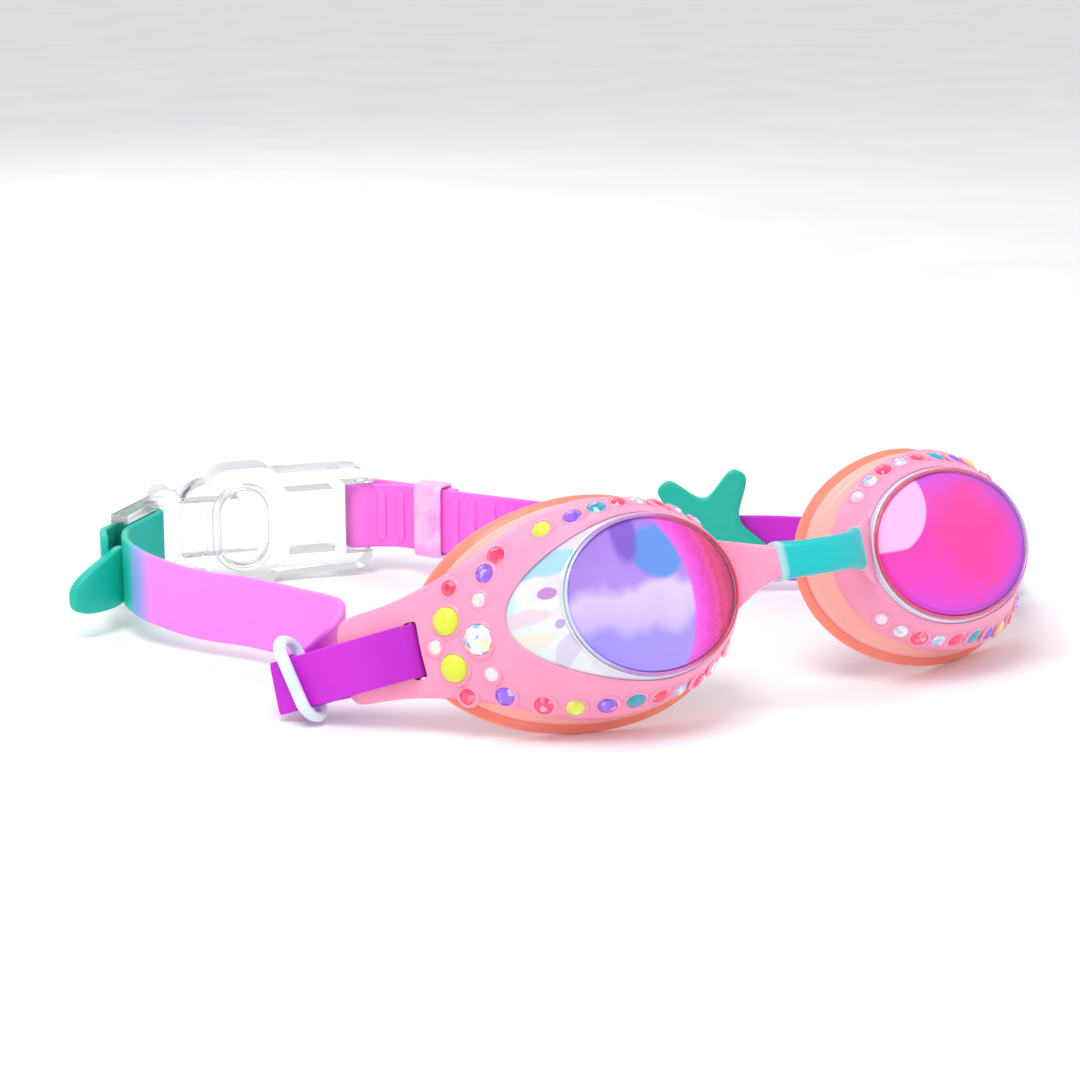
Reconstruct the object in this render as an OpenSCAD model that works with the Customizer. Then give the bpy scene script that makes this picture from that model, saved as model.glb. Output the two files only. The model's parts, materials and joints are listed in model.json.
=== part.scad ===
// Children's swim goggles: two soft eye cups on a nose bridge, with a split head strap and a clasp.
// Millimetres, +Z up. The goggles lie on a table at z = 0 with the windows facing -Y.
// "Left" and "right" are the wearer's, so the right cup is on the -X side.

/* [Windows] */
// Distance from the nose line to the middle of each window
cup_x = 36.7; // [35:0.1:39]
// Half width of the flat front window
win_a = 19.3; // [17:0.1:21]
// Half height of the flat front window
win_b = 15.25; // [13:0.05:17]
// Lean of the window plane away from upright, in degrees
lean = 23; // [15:1:28]
// Distance of the window plane in front of the top row of stones
front_y = -11.8; // [-14:0.1:-9]
// Height of the window centre above the table
front_z = 28.5; // [28.4:0.1:30]

/* [Frames] */
// Rise of the frame's sloping face: depth gained per millimetre outwards from the window
slope = 1.5; // [1.4:0.05:1.6]
// How far the clear side window reaches past the front window
side_reach = 6.3; // [4:0.1:8]
// Half height of the frame over the window
frame_b = 21.2; // [20:0.1:22]
// Half height of the temple wing
wing_b = 8.7; // [8.2:0.1:10]
// Reach of the wing tip from the window centre
wing_tip = 46; // [44:0.5:48]
// Depth of the frame wall, front to back
frame_t = 4.2; // [3.6:0.1:5]
// Depth of the thin lip over the lens
lip_t = 0.8; // [0.6:0.1:1]

/* [Gaskets] */
// Half width of the flange that meets the face
seal_a = 32; // [30:0.5:33]
// Half height of the flange that meets the face
seal_b = 23.1; // [22:0.1:24.5]
// Depth of the flange behind the window, at the nose
seal_v = 17; // [16.5:0.1:19]
// Extra depth of the flange at the temple, so that it follows the face
seal_wrap = 13; // [10:0.5:15]

/* [Straps] */
// Width of the straps
strap_w = 15; // [13:0.5:16]
// Width of the narrow strap tails that pass the wing slots
tail_w = 10.4; // [9:0.1:11]
// Thickness of the straps
strap_t = 1.6; // [1.2:0.1:1.8]
// Spacing of the grip ridges on the left strap
ridge_pitch = 5.5; // [4:0.5:8]
// Thickness of the rod of the oval strap rings
ring_rod = 2.2; // [1.8:0.1:2.6]

/* [Clasp] */
// Height of the clasp housing at its strap end
clasp_h = 24; // [22:0.5:26]
// Height of the clasp housing round the button
boss_h = 27.4; // [26:0.1:27.6]
// Depth of the clasp housing, front to back
clasp_d = 9; // [8:0.5:10]
// Height of the insert half of the clasp
insert_h = 19.5; // [17:0.5:21]
// Height of the strap and clasp centre line above the table
clasp_z = 13.7; // [13.7:0.1:15]
// Distance from the strap's bend to the tongue of the clasp
swing_r = 92.6; // [92:0.1:93]

/* [Charms] */
// Radius of the star charm to its tips
star_r = 14.6; // [13:0.1:14.8]
// Radius of the star charm's solid middle
star_mid = 5; // [4:0.1:6]
// Thickness of the star and of the pull tab
charm_t = 2.4; // [2:0.1:3]

/* [Hidden] */

steps = 60;          // points round each cup
end_steps = 6;       // points along half of the square wing tip
tip_corner = 3;      // corner radius of the wing tip
// The whole assembly is moved by this much, so that its box is centred over the origin
centre = [7.385, -60.54, 0];

// ---- the cups, in the goggle frame: x outwards from the nose line, y back, z up the window ----

module goggle_frame() {
    translate([0, front_y, front_z]) rotate([-lean, 0, 0]) children();
}

// Mirrors a left cup piece for side = -1
module side_of(side) {
    mirror([side < 0 ? 1 : 0, 0, 0]) children();
}

// Distance of a front-view point outside the window, measured from the window centre
function outside(p) =
    let (q = norm([p.x / win_a, p.y / win_b]))
    norm(p) * (1 - 1 / q);

// Depth of the frame's front face at a front-view point
function face_v(p) = slope * max(0, outside(p));

// Edge of the frame's opening: the window outline, drawn out towards the temple
function opening(f, grow) =
    let (c = max(0, cos(f)))
    [(win_a + 0.9 + grow) * cos(f) + side_reach * c * c, (win_b + 0.9 + grow) * sin(f)];

// Upper edge of the frame at distance x: a half ellipse at the nose, a falling bell to the wing
nose_reach = 24;     // reach of the frame towards the nose
bell_x = 6;          // where the frame is tallest
bell_len = 38;       // length over which it falls to the wing
function frame_top(x) =
    x < bell_x ? frame_b * sqrt(max(0, 1 - pow((bell_x - x) / (bell_x + nose_reach), 2)))
    : x < bell_x + bell_len
        ? wing_b + (frame_b - wing_b) * pow(cos(90 * (x - bell_x) / bell_len), 2)
    : wing_b;

// Outer edge of the frame for angle f: the square wing tip first, then the upper or lower edge
tip_share = 14;      // angle given to each half of the wing tip
function outline(f) =
    let (g = f > 180 ? 360 - f : f, s = f > 180 ? -1 : 1)
    g < tip_share
        ? [wing_tip - tip_corner * (1 - cos(90 * g / tip_share)), s * wing_b * sin(90 * g / tip_share)]
        : let (u = (g - tip_share) / (180 - tip_share),
               x = (wing_tip - tip_corner) - (wing_tip - tip_corner + nose_reach) * (1 - cos(180 * u)) / 2)
          [x, s * frame_top(x)];

function blend2(a, b, t) = a * (1 - t) + b * t;
function lift(p, v) = [cup_x + p.x, v, p.y];

// A closed ring of quads: rows of equal length, the last row joined to the first
module ring_solid(rows) {
    n = len(rows[0]);
    m = len(rows);
    points = [for (row = rows) each row];
    faces = [
        for (j = [0 : m - 1], i = [0 : n - 1])
            let (k = (j + 1) % m, h = (i + 1) % n)
            each [[j * n + i, j * n + h, k * n + i], [j * n + h, k * n + h, k * n + i]]
    ];
    polyhedron(points, faces);
}

// A stack of closed rows with a flat cap on the first and on the last
module capped_solid(rows) {
    n = len(rows[0]);
    m = len(rows);
    points = [for (row = rows) each row];
    walls = [
        for (j = [0 : m - 2], i = [0 : n - 1])
            let (h = (i + 1) % n)
            each [[j * n + i, j * n + h, (j + 1) * n + i], [j * n + h, (j + 1) * n + h, (j + 1) * n + i]]
    ];
    first = [for (i = [n - 1 : -1 : 0]) i];
    last = [for (i = [0 : n - 1]) (m - 1) * n + i];
    polyhedron(points, concat([first], walls, [last]));
}

angles = [for (i = [0 : steps - 1]) 360 * i / steps];
lens_grow = 1.8;     // how far the lens reaches under the frame
seat_gap = 0.2;      // gap between the lens and its seat in the frame

module frame_solid() {
    function at(f, t) = blend2(opening(f, lens_grow + seat_gap), outline(f), t);
    function row(t, dv) = [for (f = angles) let (p = at(f, t)) lift(p, face_v(p) + dv)];
    function lip_row(grow, dv) = [for (f = angles) let (p = opening(f, grow)) lift(p, face_v(p) + dv)];
    difference() {
        ring_solid([
            lip_row(0, lip_t), lip_row(0, 0), row(0, 0), row(0.25, 0), row(0.5, 0), row(0.75, 0),
            row(0.95, 0), row(1, 0.6), row(1, frame_t - 0.3), row(0.97, frame_t), row(0.6, frame_t),
            row(0.3, frame_t), row(0, frame_t), row(0, lip_t)
        ]);
        wing_place(slot_d, 0) cube([slot_len, 14, slot_h], center = true);
    }
}

// ---- the wing: d is the distance along its sloping face from the window edge, n outwards ----

wing_angle = atan(slope);
slot_d = 35.4;       // middle of the strap slot
slot_len = 6.4;      // length of the strap slot along the wing
slot_h = 12.8;       // height of the strap slot
strap_low = -0.9;    // height of the strap's middle on the wing
wing_wall = frame_t * cos(wing_angle);

function wing_point(d, n) = [
    cup_x + win_a + d * cos(wing_angle) + n * sin(wing_angle),
    d * sin(wing_angle) - n * cos(wing_angle),
    strap_low
];

// Places a piece on the wing of the left cup: x along the wing, y into the wing, z up
module wing_place(d, n) {
    translate(wing_point(d, n)) rotate([0, 0, wing_angle]) children();
}

// ---- lens ----

lens_t = 1.5;        // wall of the lens
lens_under = 1.0;    // how far the lens wall lies under the frame's face

module lens_solid() {
    function ellipse_row(grow, v) = [
        for (f = angles) lift([(win_a + grow) * cos(f), (win_b + grow) * sin(f)], v)
    ];
    function wall_row(grow, dv) = [
        for (f = angles) let (p = opening(f, grow)) lift(p, face_v(p) + dv)
    ];
    capped_solid([
        ellipse_row(-0.5, 0), ellipse_row(0, 0.4), ellipse_row(0.1, lens_under + 0.4),
        wall_row(0, lens_under), wall_row(lens_grow, lens_under), wall_row(lens_grow, lens_under + lens_t),
        wall_row(0, lens_under + lens_t + 0.4), ellipse_row(-1.4, lens_under + lens_t + 0.4),
        ellipse_row(-2, lens_t)
    ]);
}

// ---- gasket ----

seal_x = 5;          // middle of the flange, from the window centre
inner_a = 26.3;      // half width of the gasket's hollow
inner_b = 18.4;      // half height of the gasket's hollow
inner_x = 3.9;       // middle of the hollow
rest_gap = 0.15;     // gap between the gasket and the frame's back

// Depth of the face side of the flange at distance x
function seal_depth(x) = seal_v + seal_wrap * pow(max(0, x + 5) / 42, 1.5);

module gasket_solid() {
    // t runs from the hollow (0) to the rim of the flange (1)
    function at(f, t) = [
        blend2(inner_x, seal_x, t) + blend2(inner_a, seal_a, t) * cos(f),
        blend2(inner_b, seal_b, t) * sin(f)
    ];
    function front(p) = face_v(p) + frame_t + rest_gap;
    function front_row(t) = [for (f = angles) let (p = at(f, t)) lift(p, min(front(p), seal_depth(p.x) - 2.4))];
    function step_row(t, part) = [
        for (f = angles) let (p = at(f, t), a = min(front(p), seal_depth(p.x) - 2.4))
            lift(p, blend2(a, seal_depth(p.x), part))
    ];
    ring_solid([
        front_row(0), front_row(0.25), front_row(0.5), step_row(0.6, 0.25), step_row(0.6, 0.5),
        step_row(0.9, 0.6), step_row(1, 0.75), step_row(0.95, 0.95), step_row(0.75, 1),
        step_row(0.35, 1), step_row(0.05, 0.9), step_row(0, 0.7)
    ]);
}

// ---- stones ----
// Each is [along, size]: along is the angle round the window, in degrees from the temple

// A stone on the sloping face at a front-view point: a cone with a flat top, sunk by a third
module stone(p, d) {
    out = p / norm(p);
    turn = atan2(out.y, out.x);
    translate(lift(p, face_v(p)))
        rotate([0, -turn, 0]) rotate([0, 0, wing_angle]) rotate([90, 0, 0])
            translate([0, 0, -0.5]) {
                cylinder(h = 0.7, d = d, $fn = 24);
                translate([0, 0, 0.7]) cylinder(h = d * 0.2, d1 = d, d2 = d * 0.5, $fn = 24);
            }
}

module dome(p, d) {
    out = p / norm(p);
    turn = atan2(out.y, out.x);
    translate(lift(p, face_v(p)))
        rotate([0, -turn, 0]) rotate([0, 0, wing_angle]) rotate([90, 0, 0])
            translate([0, 0, -0.5]) intersection() {
                translate([0, 0, 2.2 - d * 0.7]) sphere(r = d * 0.7, $fn = 32);
                cylinder(h = 3, d = d, $fn = 32);
            }
}

// A point on the row of stones that follows the window at angle f
row_out = 3.7;       // distance of the row outside the window
function in_row(f) = [(win_a + row_out) * cos(f), (win_b + row_out) * sin(f)];
// A point on the wing at distance d along the face and height h
function on_wing(d, h) = [win_a + d * cos(wing_angle), h];

// The stones of one cup, as [front-view point, diameter]
red_stones = [
    [in_row(90), 3.6], [in_row(113), 3.4], [[24.0, 13.2], 3.8], [on_wing(22.0, 9.2), 3.2],
    [in_row(-91), 3.6], [in_row(-114), 3.6], [[20.7, -16.3], 3.8], [on_wing(22.0, -11.6), 3.2]
];
purple_stones = [
    [[10.1, 17.6], 3.8], [on_wing(13.2, 10.3), 3.8], [[10.2, -18.7], 3.8], [on_wing(13.0, -13.1), 3.8]
];
yellow_stones = [[[15.9, 16.4], 3.8], [[15.6, -18.0], 3.8]];
teal_stones = [[[4.9, 18.5], 3.8], [[4.9, -18.9], 3.8]];
crystal_stones = [
    [in_row(101), 3.2], [in_row(124), 3.2], [in_row(-102), 3.2], [in_row(-126), 3.2],
    [on_wing(19.5, -1.7), 6]
];
clear_stones = [
    [in_row(137), 2.8], [in_row(-140), 2.8], [on_wing(17.2, 5.6), 3], [on_wing(16.9, -8.6), 3],
    [on_wing(29.0, -1.2), 3]
];
yellow_domes = [[on_wing(25.3, 3.1), 5.6], [on_wing(25.2, -5.9), 5.6]];

module stones(side, list) {
    goggle_frame() side_of(side) for (s = list) stone(s[0], s[1]);
}

module domes(side) {
    goggle_frame() side_of(side) for (s = yellow_domes) dome(s[0], s[1]);
}

// ---- nose bridge ----
// A bar that arches forward over the nose. Its outline narrows to a waist.

arch_front = -6.7;   // depth of the middle of the arch
arch_x = 15.5;       // half span that the arch is drawn on
bridge_t = 3.4;      // thickness of the bar
bar_x = 14.6;        // half length of the bar, which ends inside the frames
band_x = 10;         // half length of the band
band_t = 0.7;        // wall of the band

function arch_v(x) = arch_front + 9.5 * pow(abs(x) / arch_x, 2.2);
function arch_h(x) = 6.4 + 9 * pow(abs(x) / arch_x, 2.4);
function arch_w(x) = 0.2 + 1.2 * pow(abs(x) / arch_x, 2);

// A box section of half thickness t and extra height e, at distance x along the bar
function arch_row(x, t, e) =
    let (h = arch_h(x) / 2 + e, w = arch_w(x), v = arch_v(x), c = min(1.2, t * 0.7))
    [[x, v - t, w - h + c], [x, v - t, w + h - c], [x, v - t + c, w + h], [x, v + t - c, w + h],
     [x, v + t, w + h - c], [x, v + t, w - h + c], [x, v + t - c, w - h], [x, v - t + c, w - h]];

module arch_bar(half, t, e, count) {
    goggle_frame() capped_solid([for (i = [0 : count]) arch_row(-half + 2 * half * i / count, t, e)]);
}

// ---- where the clasp and the straight stretches of strap lie ----
// The clasp has its own directions: s to the right along it, b back, z up

clasp_turn = -13.7;                            // direction of the clasp's long axis
tongue_mid = [-54, 134, clasp_z];              // the origin of s, b and z
// The bend behind the right ring, about which the right half of the strap swings
swing_axis = [
    tongue_mid.x + swing_r * sin(clasp_turn), tongue_mid.y - swing_r * cos(clasp_turn), 0
];
housing_bar_s = 29.5;                          // bar that the left strap turns round
housing_bar_r = 1.4;                           // radius of that bar
bar_layer = 2.5;                               // offset of each strap layer from that bar
// The insert's strap loop: it leaves the insert at loop_at and points left and forward
loop_at = [-69, 138.3, clasp_z];
loop_turn = 219.8;
loop_len = 24;                                 // length of the loop
loop_w = 12.4;                                 // width of the strap inside the loop
bar_e = 9;                                     // bar that the right strap turns round
bar_r = 1.2;                                   // radius of that bar
layer = 2.3;                                   // offset of each strap layer from the bar
// Middle of the strap at the star and at the keeper, and the directions of those stretches
star_strap = [34, 68.2, 10.4];
star_turn = -32.9;
keeper_at = [-15.2, 115.2, clasp_z];
keeper_turn = -59.8;

// ---- straps ----
// A strap is a flat ribbon carried along a route. Each station is [point, up vector, width].

function unit(v) = v / norm(v);
up_lean = [0, sin(lean), cos(lean)];
up = [0, 0, 1];

// A point of the goggle frame in the table frame
function table_point(p) = [
    p.x,
    front_y + p.y * cos(lean) + p.z * sin(lean),
    front_z - p.y * sin(lean) + p.z * cos(lean)
];
function on_left(p) = p;
function on_right(p) = [-p.x, p.y, p.z];

// Smooth route through stations: Catmull-Rom, with "fine" pieces between stations
function spline(a, b, c, d, t) =
    0.5 * (2 * b + (c - a) * t + (2 * a - 5 * b + 4 * c - d) * t * t + (3 * b - a - 3 * c + d) * t * t * t);
function smooth_route(s, fine) = [
    for (i = [0 : len(s) - 2], k = [0 : fine - 1])
        let (a = s[max(0, i - 1)], b = s[i], c = s[i + 1], d = s[min(len(s) - 1, i + 2)], t = k / fine)
        [for (j = [0 : 2]) spline(a[j], b[j], c[j], d[j], t)],
    s[len(s) - 1]
];

// The ribbon itself: a rectangle of thickness t at each station
module ribbon(s, t) {
    n = len(s);
    rows = [
        for (i = [0 : n - 1])
            let (p = s[i][0], u = unit(s[i][1]), w = s[i][2] / 2,
                 along = unit(s[min(n - 1, i + 1)][0] - s[max(0, i - 1)][0]),
                 side = unit(cross(along, u)) * t / 2)
            [p + side + u * w, p - side + u * w, p - side - u * w, p + side - u * w]
    ];
    capped_solid(rows);
}

front_n = 0.25 + strap_t / 2;                 // the tail on the front of the wing
back_n = -wing_wall - 0.3 - strap_t / 2;      // the strap on the back of the wing
ring_n = front_n - strap_t - 0.3;             // the strap behind the tail, at the ring
ring_d = 58.8;                                // where the ring sits along the wing's direction

function tail_station(d, n) = [table_point(wing_point(d, n)), up_lean, tail_w];

// From the cut end, over the front of the wing, through the slot and back to the ring
tail_stations = [
    tail_station(66, front_n + 0.2), tail_station(63, front_n), tail_station(54, front_n),
    tail_station(44, front_n), tail_station(38.3, front_n + 0.1), tail_station(36.2, front_n - 0.9),
    tail_station(35.6, (front_n + back_n) / 2), tail_station(36.2, back_n + 0.9),
    tail_station(38.3, back_n - 0.1), tail_station(43, back_n), tail_station(50.5, back_n),
    tail_station(53.2, ring_n), tail_station(55, ring_n), tail_station(ring_d, ring_n),
    tail_station(63, ring_n)
];

function mirror_station(s) = [on_right(s[0]), s[1], s[2]];

// Stations on the straight stretches: through the star, through the keeper and in the clasp
function along_z(at, turn, s, b, w) =
    [[at.x + s * cos(turn) - b * sin(turn), at.y + s * sin(turn) + b * cos(turn), at.z], up, w];
function star_station(s) = along_z(star_strap, star_turn, s, 0, strap_w);
function keeper_station(s) = along_z(keeper_at, keeper_turn, s, 0, strap_w);
function keeper_back(s) = along_z(keeper_at, keeper_turn, s, strap_t + 0.4, strap_w);
function clasp_station(s, b) = along_z(tongue_mid, clasp_turn, s, b, strap_w);
function loop_station(s, b) = along_z(loop_at, loop_turn, s, b, loop_w);

// The right strap: the fold behind the ring, then the ribbon back to the clasp
right_fold = [
    [[-92.0, 41.0, 8.2], up_lean, tail_w], [[-89.5, 45.0, 8.6], up_lean, tail_w],
    [[-84.5, 45.4, 9.4], unit([0, 0.2, 1]), tail_w], [[-79.6, 43.6, 10.2], up, 12],
    [[-77.9, 43.4, 10.4], up, 12.4]
];
right_run = [
    [[-75.2, 45.6, 10.8], up, 13.6], [[-74.2, 50, 10.9], up, strap_w],
    [[-75.6, 59, 10.9], up, strap_w], [[-80, 73, 10.9], up, strap_w],
    [[-87, 85, 11], up, strap_w], [[-92.2, 96, 12.4], up, strap_w],
    [[-93.2, 104, 13.4], up, strap_w], [[-91.6, 110.5, clasp_z], up, strap_w],
    loop_station(24, layer), loop_station(16, layer), loop_station(bar_e, layer),
    loop_station(bar_e - layer * 0.8, layer * 0.6), loop_station(bar_e - layer, 0),
    loop_station(bar_e - layer * 0.8, -layer * 0.6), loop_station(bar_e, -layer),
    loop_station(16, -layer), loop_station(24, -layer), [[-93.6, 117.4, clasp_z], up, strap_w],
    [[-96.2, 110.6, clasp_z], up, strap_w]
];

// The left strap: round the wing, in along the table, through the star and up to the clasp
left_run = [
    [[92.6, 41.5, 8.2], up_lean, tail_w], [[90.5, 47.2, 9], up_lean, 12],
    [[83.5, 50.2, 9.6], unit([0, 0.2, 1]), strap_w], [[72, 50.8, 9.4], up, strap_w],
    [[60, 53.4, 9.6], up, strap_w], star_station(12), star_station(6), star_station(0),
    star_station(-6), star_station(-12), [[14, 79.6, 12.4], up, strap_w],
    [[4.4, 85.8, 13.2], up, strap_w], keeper_station(25), keeper_station(19), keeper_station(12),
    keeper_station(5), keeper_station(-1.5), keeper_station(-6),
    clasp_station(housing_bar_s + 3.5, -bar_layer), clasp_station(housing_bar_s, -bar_layer),
    clasp_station(housing_bar_s - bar_layer * 0.8, -bar_layer * 0.6),
    clasp_station(housing_bar_s - bar_layer, 0),
    clasp_station(housing_bar_s - bar_layer * 0.8, bar_layer * 0.6),
    clasp_station(housing_bar_s, bar_layer), clasp_station(housing_bar_s + 4, bar_layer),
    keeper_back(-6), keeper_back(-1), keeper_back(4), keeper_back(8.5)
];

// ---- clasp ----

module clasp_place() {
    translate(tongue_mid) rotate([0, 0, clasp_turn]) children();
}

// A slab with round corners in the s-z plane, from depth b0 to b1
module slab(s0, s1, h, b0, b1, r) {
    translate([0, b1, 0]) rotate([90, 0, 0]) linear_extrude(b1 - b0)
        hull() for (s = [s0 + r, s1 - r], z = [-h / 2 + r, h / 2 - r]) translate([s, z]) circle(r = r, $fn = 32);
}

housing_l = -13;     // left end of the housing
housing_r = 32;      // right end of the housing
button_s = 1;        // middle of the button along the clasp
button_a = 5.4;      // half width of the button
button_b = 8.6;      // half height of the button

module button_hole(grow, b0, b1) {
    translate([button_s, b1, 0]) rotate([90, 0, 0]) linear_extrude(b1 - b0)
        hull() for (z = [-1, 1]) translate([0, z * (button_b - button_a)]) circle(r = button_a + grow, $fn = 48);
}

// ---- the named pieces ----

module right_frame() {
    color("#FFB3D1") goggle_frame() side_of(-1) frame_solid();
}

module left_frame() {
    color("#FFB3D1") goggle_frame() side_of(1) frame_solid();
}

module nose_bridge() {
    color("#FFB3D1") arch_bar(bar_x, bridge_t / 2, 0, 16);
}

module bridge_band() {
    color("#00D0D2") difference() {
        arch_bar(band_x, bridge_t / 2 + band_t, band_t, 12);
        arch_bar(band_x + 1, bridge_t / 2 + 0.05, 0.05, 14);
    }
}

module right_lens() {
    color("#B9A4F0", 0.5) goggle_frame() side_of(-1) lens_solid();
}

module left_lens() {
    color("#F040D0", 0.5) goggle_frame() side_of(1) lens_solid();
}

module right_gasket() {
    color("#FF9A85") goggle_frame() side_of(-1) gasket_solid();
}

module left_gasket() {
    color("#FF9A85") goggle_frame() side_of(1) gasket_solid();
}

module right_red_stones() {
    color("#FF4F80") stones(-1, red_stones);
}

module left_red_stones() {
    color("#FF4F80") stones(1, red_stones);
}

module right_purple_stones() {
    color("#A86AE8") stones(-1, purple_stones);
}

module left_purple_stones() {
    color("#A86AE8") stones(1, purple_stones);
}

module right_yellow_stones() {
    color("#E3EA6A") stones(-1, yellow_stones);
}

module left_yellow_stones() {
    color("#E3EA6A") stones(1, yellow_stones);
}

module right_teal_stones() {
    color("#00B5CC") stones(-1, teal_stones);
}

module left_teal_stones() {
    color("#00B5CC") stones(1, teal_stones);
}

module right_crystal_stones() {
    color("#EDEFF8") stones(-1, crystal_stones);
}

module left_crystal_stones() {
    color("#EDEFF8") stones(1, crystal_stones);
}

module right_clear_stones() {
    color("#F6C9DC") stones(-1, clear_stones);
}

module left_clear_stones() {
    color("#F6C9DC") stones(1, clear_stones);
}

module right_yellow_domes() {
    color("#E3EA6A") domes(-1);
}

module left_yellow_domes() {
    color("#E3EA6A") domes(1);
}

module right_strap_tail() {
    color("#D42ADC") ribbon(
        smooth_route(concat([for (s = tail_stations) mirror_station(s)], right_fold), 3), strap_t);
}

module right_strap() {
    color("#FF9CF0") ribbon(smooth_route(right_run, 3), strap_t);
}

module left_strap() {
    color("#D62BE0") union() {
        ribbon(smooth_route(concat(tail_stations, left_run), 3), strap_t);
        grip_ridges();
    }
}

// Upright ridges on the straight stretch of the left strap, on the side that faces the wearer
ridge_count = 6;
ridge_rise = 0.5;
module grip_ridges() {
    translate(keeper_at) rotate([0, 0, keeper_turn]) for (k = [0 : ridge_count - 1])
        translate([-1 + k * ridge_pitch, -strap_t / 2 - ridge_rise, -strap_w * 0.38])
            cube([1.4, ridge_rise + 0.4, strap_w * 0.76]);
}

// An oval ring of round rod round both layers of a strap tail
module strap_ring() {
    r = strap_t + 0.6;                        // inner radius of the ring's round ends
    straight = tail_w / 2 - 0.5;              // half height of its straight sides
    rod_r = ring_rod / 2;
    wing_place(ring_d, (front_n + ring_n) / 2) rotate([0, 90, 0]) {
        for (s = [-1, 1]) translate([0, s * (r + rod_r), 0]) rotate([0, 90, 0])
            cylinder(r = rod_r, h = 2 * straight, center = true, $fn = 24);
        for (s = [-1, 1]) translate([s * straight, 0, 0]) rotate([0, 0, s > 0 ? -90 : 90])
            rotate_extrude(angle = 180, $fn = 48) translate([r + rod_r, 0]) circle(r = rod_r, $fn = 24);
    }
}

module right_strap_ring() {
    color("#E3EFF2") goggle_frame() side_of(-1) strap_ring();
}

module left_strap_ring() {
    color("#E3EFF2") goggle_frame() side_of(1) strap_ring();
}

keeper_len = 7;      // length of the keeper along the strap
keeper_rest = 2.5;   // where the keeper sits on the straight stretch
keeper_lo = -strap_t / 2 - 0.8;      // inner faces of the keeper, across the strap
keeper_hi = strap_t * 1.5 + 0.75;
module strap_keeper() {
    color("#F7C9EE", 0.7) translate(keeper_at) rotate([0, 0, keeper_turn]) difference() {
        translate([keeper_rest - keeper_len / 2, keeper_lo - 0.9, -strap_w / 2 - 1.3])
            cube([keeper_len, keeper_hi - keeper_lo + 1.8, strap_w + 2.6]);
        translate([keeper_rest - keeper_len, keeper_lo, -strap_w / 2 - 0.4])
            cube([2 * keeper_len, keeper_hi - keeper_lo, strap_w + 0.8]);
    }
}

// Half height of the fork that takes the left strap, and of the window beside it
fork_z = 8.2;
window_z = 7.4;
module clasp_housing() {
    color("#E9EDF2", 0.5) clasp_place() {
        difference() {
            union() {
                slab(housing_l, 0, 21, -clasp_d / 2 + 0.8, clasp_d / 2 - 0.8, 6);
                slab(-7.5, 11, boss_h, -clasp_d / 2, clasp_d / 2, 6);
                slab(4, housing_r, clasp_h, -clasp_d / 2 + 0.4, clasp_d / 2 - 0.4, 5);
            }
            // way in for the tongue
            translate([housing_l - 1, -2.2, -6.6]) cube([19, 5.2, 13.2]);
            button_hole(0.3, -clasp_d, 0);
            // window in the plate, and the fork open to the right end
            translate([11.5, -clasp_d, -window_z]) cube([11, 2 * clasp_d, 2 * window_z]);
            translate([25, -clasp_d, -fork_z]) cube([housing_r, 2 * clasp_d, 2 * fork_z]);
        }
        translate([housing_bar_s, 0, -fork_z - 0.5])
            cylinder(r = housing_bar_r, h = 2 * fork_z + 1, $fn = 48);
    }
}

module clasp_insert() {
    rail = loop_w / 2 + 0.4;
    color("#E9EDF2", 0.5) union() {
        clasp_place() {
            slab(-20, housing_l - 0.5, insert_h, -3.2, 3.6, 3);
            translate([housing_l - 2, -0.8, -5.8]) cube([16, 2.4, 11.6]);
        }
        // the loop: root, two rails, end bar, and the bar that the strap turns round
        translate(loop_at) rotate([0, 0, loop_turn]) {
            translate([-2, -2, -rail - 2]) cube([5.5, 4, 2 * rail + 4]);
            for (z = [-rail - 2, rail]) translate([0, -2, z]) cube([loop_len, 4, 2]);
            translate([loop_len - 2.4, -1, -rail - 0.5]) cube([2.4, 2, 2 * rail + 1]);
            translate([bar_e, 0, -rail - 0.5]) cylinder(r = bar_r, h = 2 * rail + 1, $fn = 48);
        }
    }
}

module release_button() {
    color("#F4F6F8", 0.7) clasp_place() button_hole(0, -clasp_d / 2 - 0.4, -clasp_d / 2 + 1.2);
}

// A leaf-shaped tab at the end of the right strap, full strap width at its root
module pull_tab() {
    color("#00D4C4") translate([-96.6, 109.2, clasp_z]) rotate([90, 0, 203])
        linear_extrude(charm_t, center = true) hull() {
            for (z = [-1, 1]) translate([0.4, z * (strap_w / 2 - 1)]) circle(r = 1, $fn = 32);
            translate([4.5, 0.4]) circle(r = 6.2, $fn = 48);
            translate([8.6, -3]) circle(r = 4.4, $fn = 48);
        }
}

star_z = 15.2;       // height of the star's middle
star_tip = 1.7;      // radius of each arm's tip
module star_charm() {
    out = strap_t / 2 + 0.35;
    color("#00D4C4") translate([star_strap.x, star_strap.y, 0]) rotate([0, 0, star_turn]) {
        translate([-1, -out, star_z]) rotate([90, 0, 0]) linear_extrude(charm_t)
            for (k = [0 : 4]) hull() {
                circle(r = star_mid, $fn = 48);
                rotate(64 + 72 * k) translate([star_r - star_tip, 0]) circle(r = star_tip, $fn = 32);
            }
        // the sleeve behind it, round the strap
        translate([-1, 0, star_strap.z]) difference() {
            translate([-4, -out - 0.5, -strap_w / 2 - 1.4]) cube([8, 2 * out + 1.5, strap_w + 2.8]);
            translate([-5, -out, -strap_w / 2 - 0.35]) cube([10, 2 * out, strap_w + 0.7]);
        }
    }
}

module place() {
    translate(centre) children();
}

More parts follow.
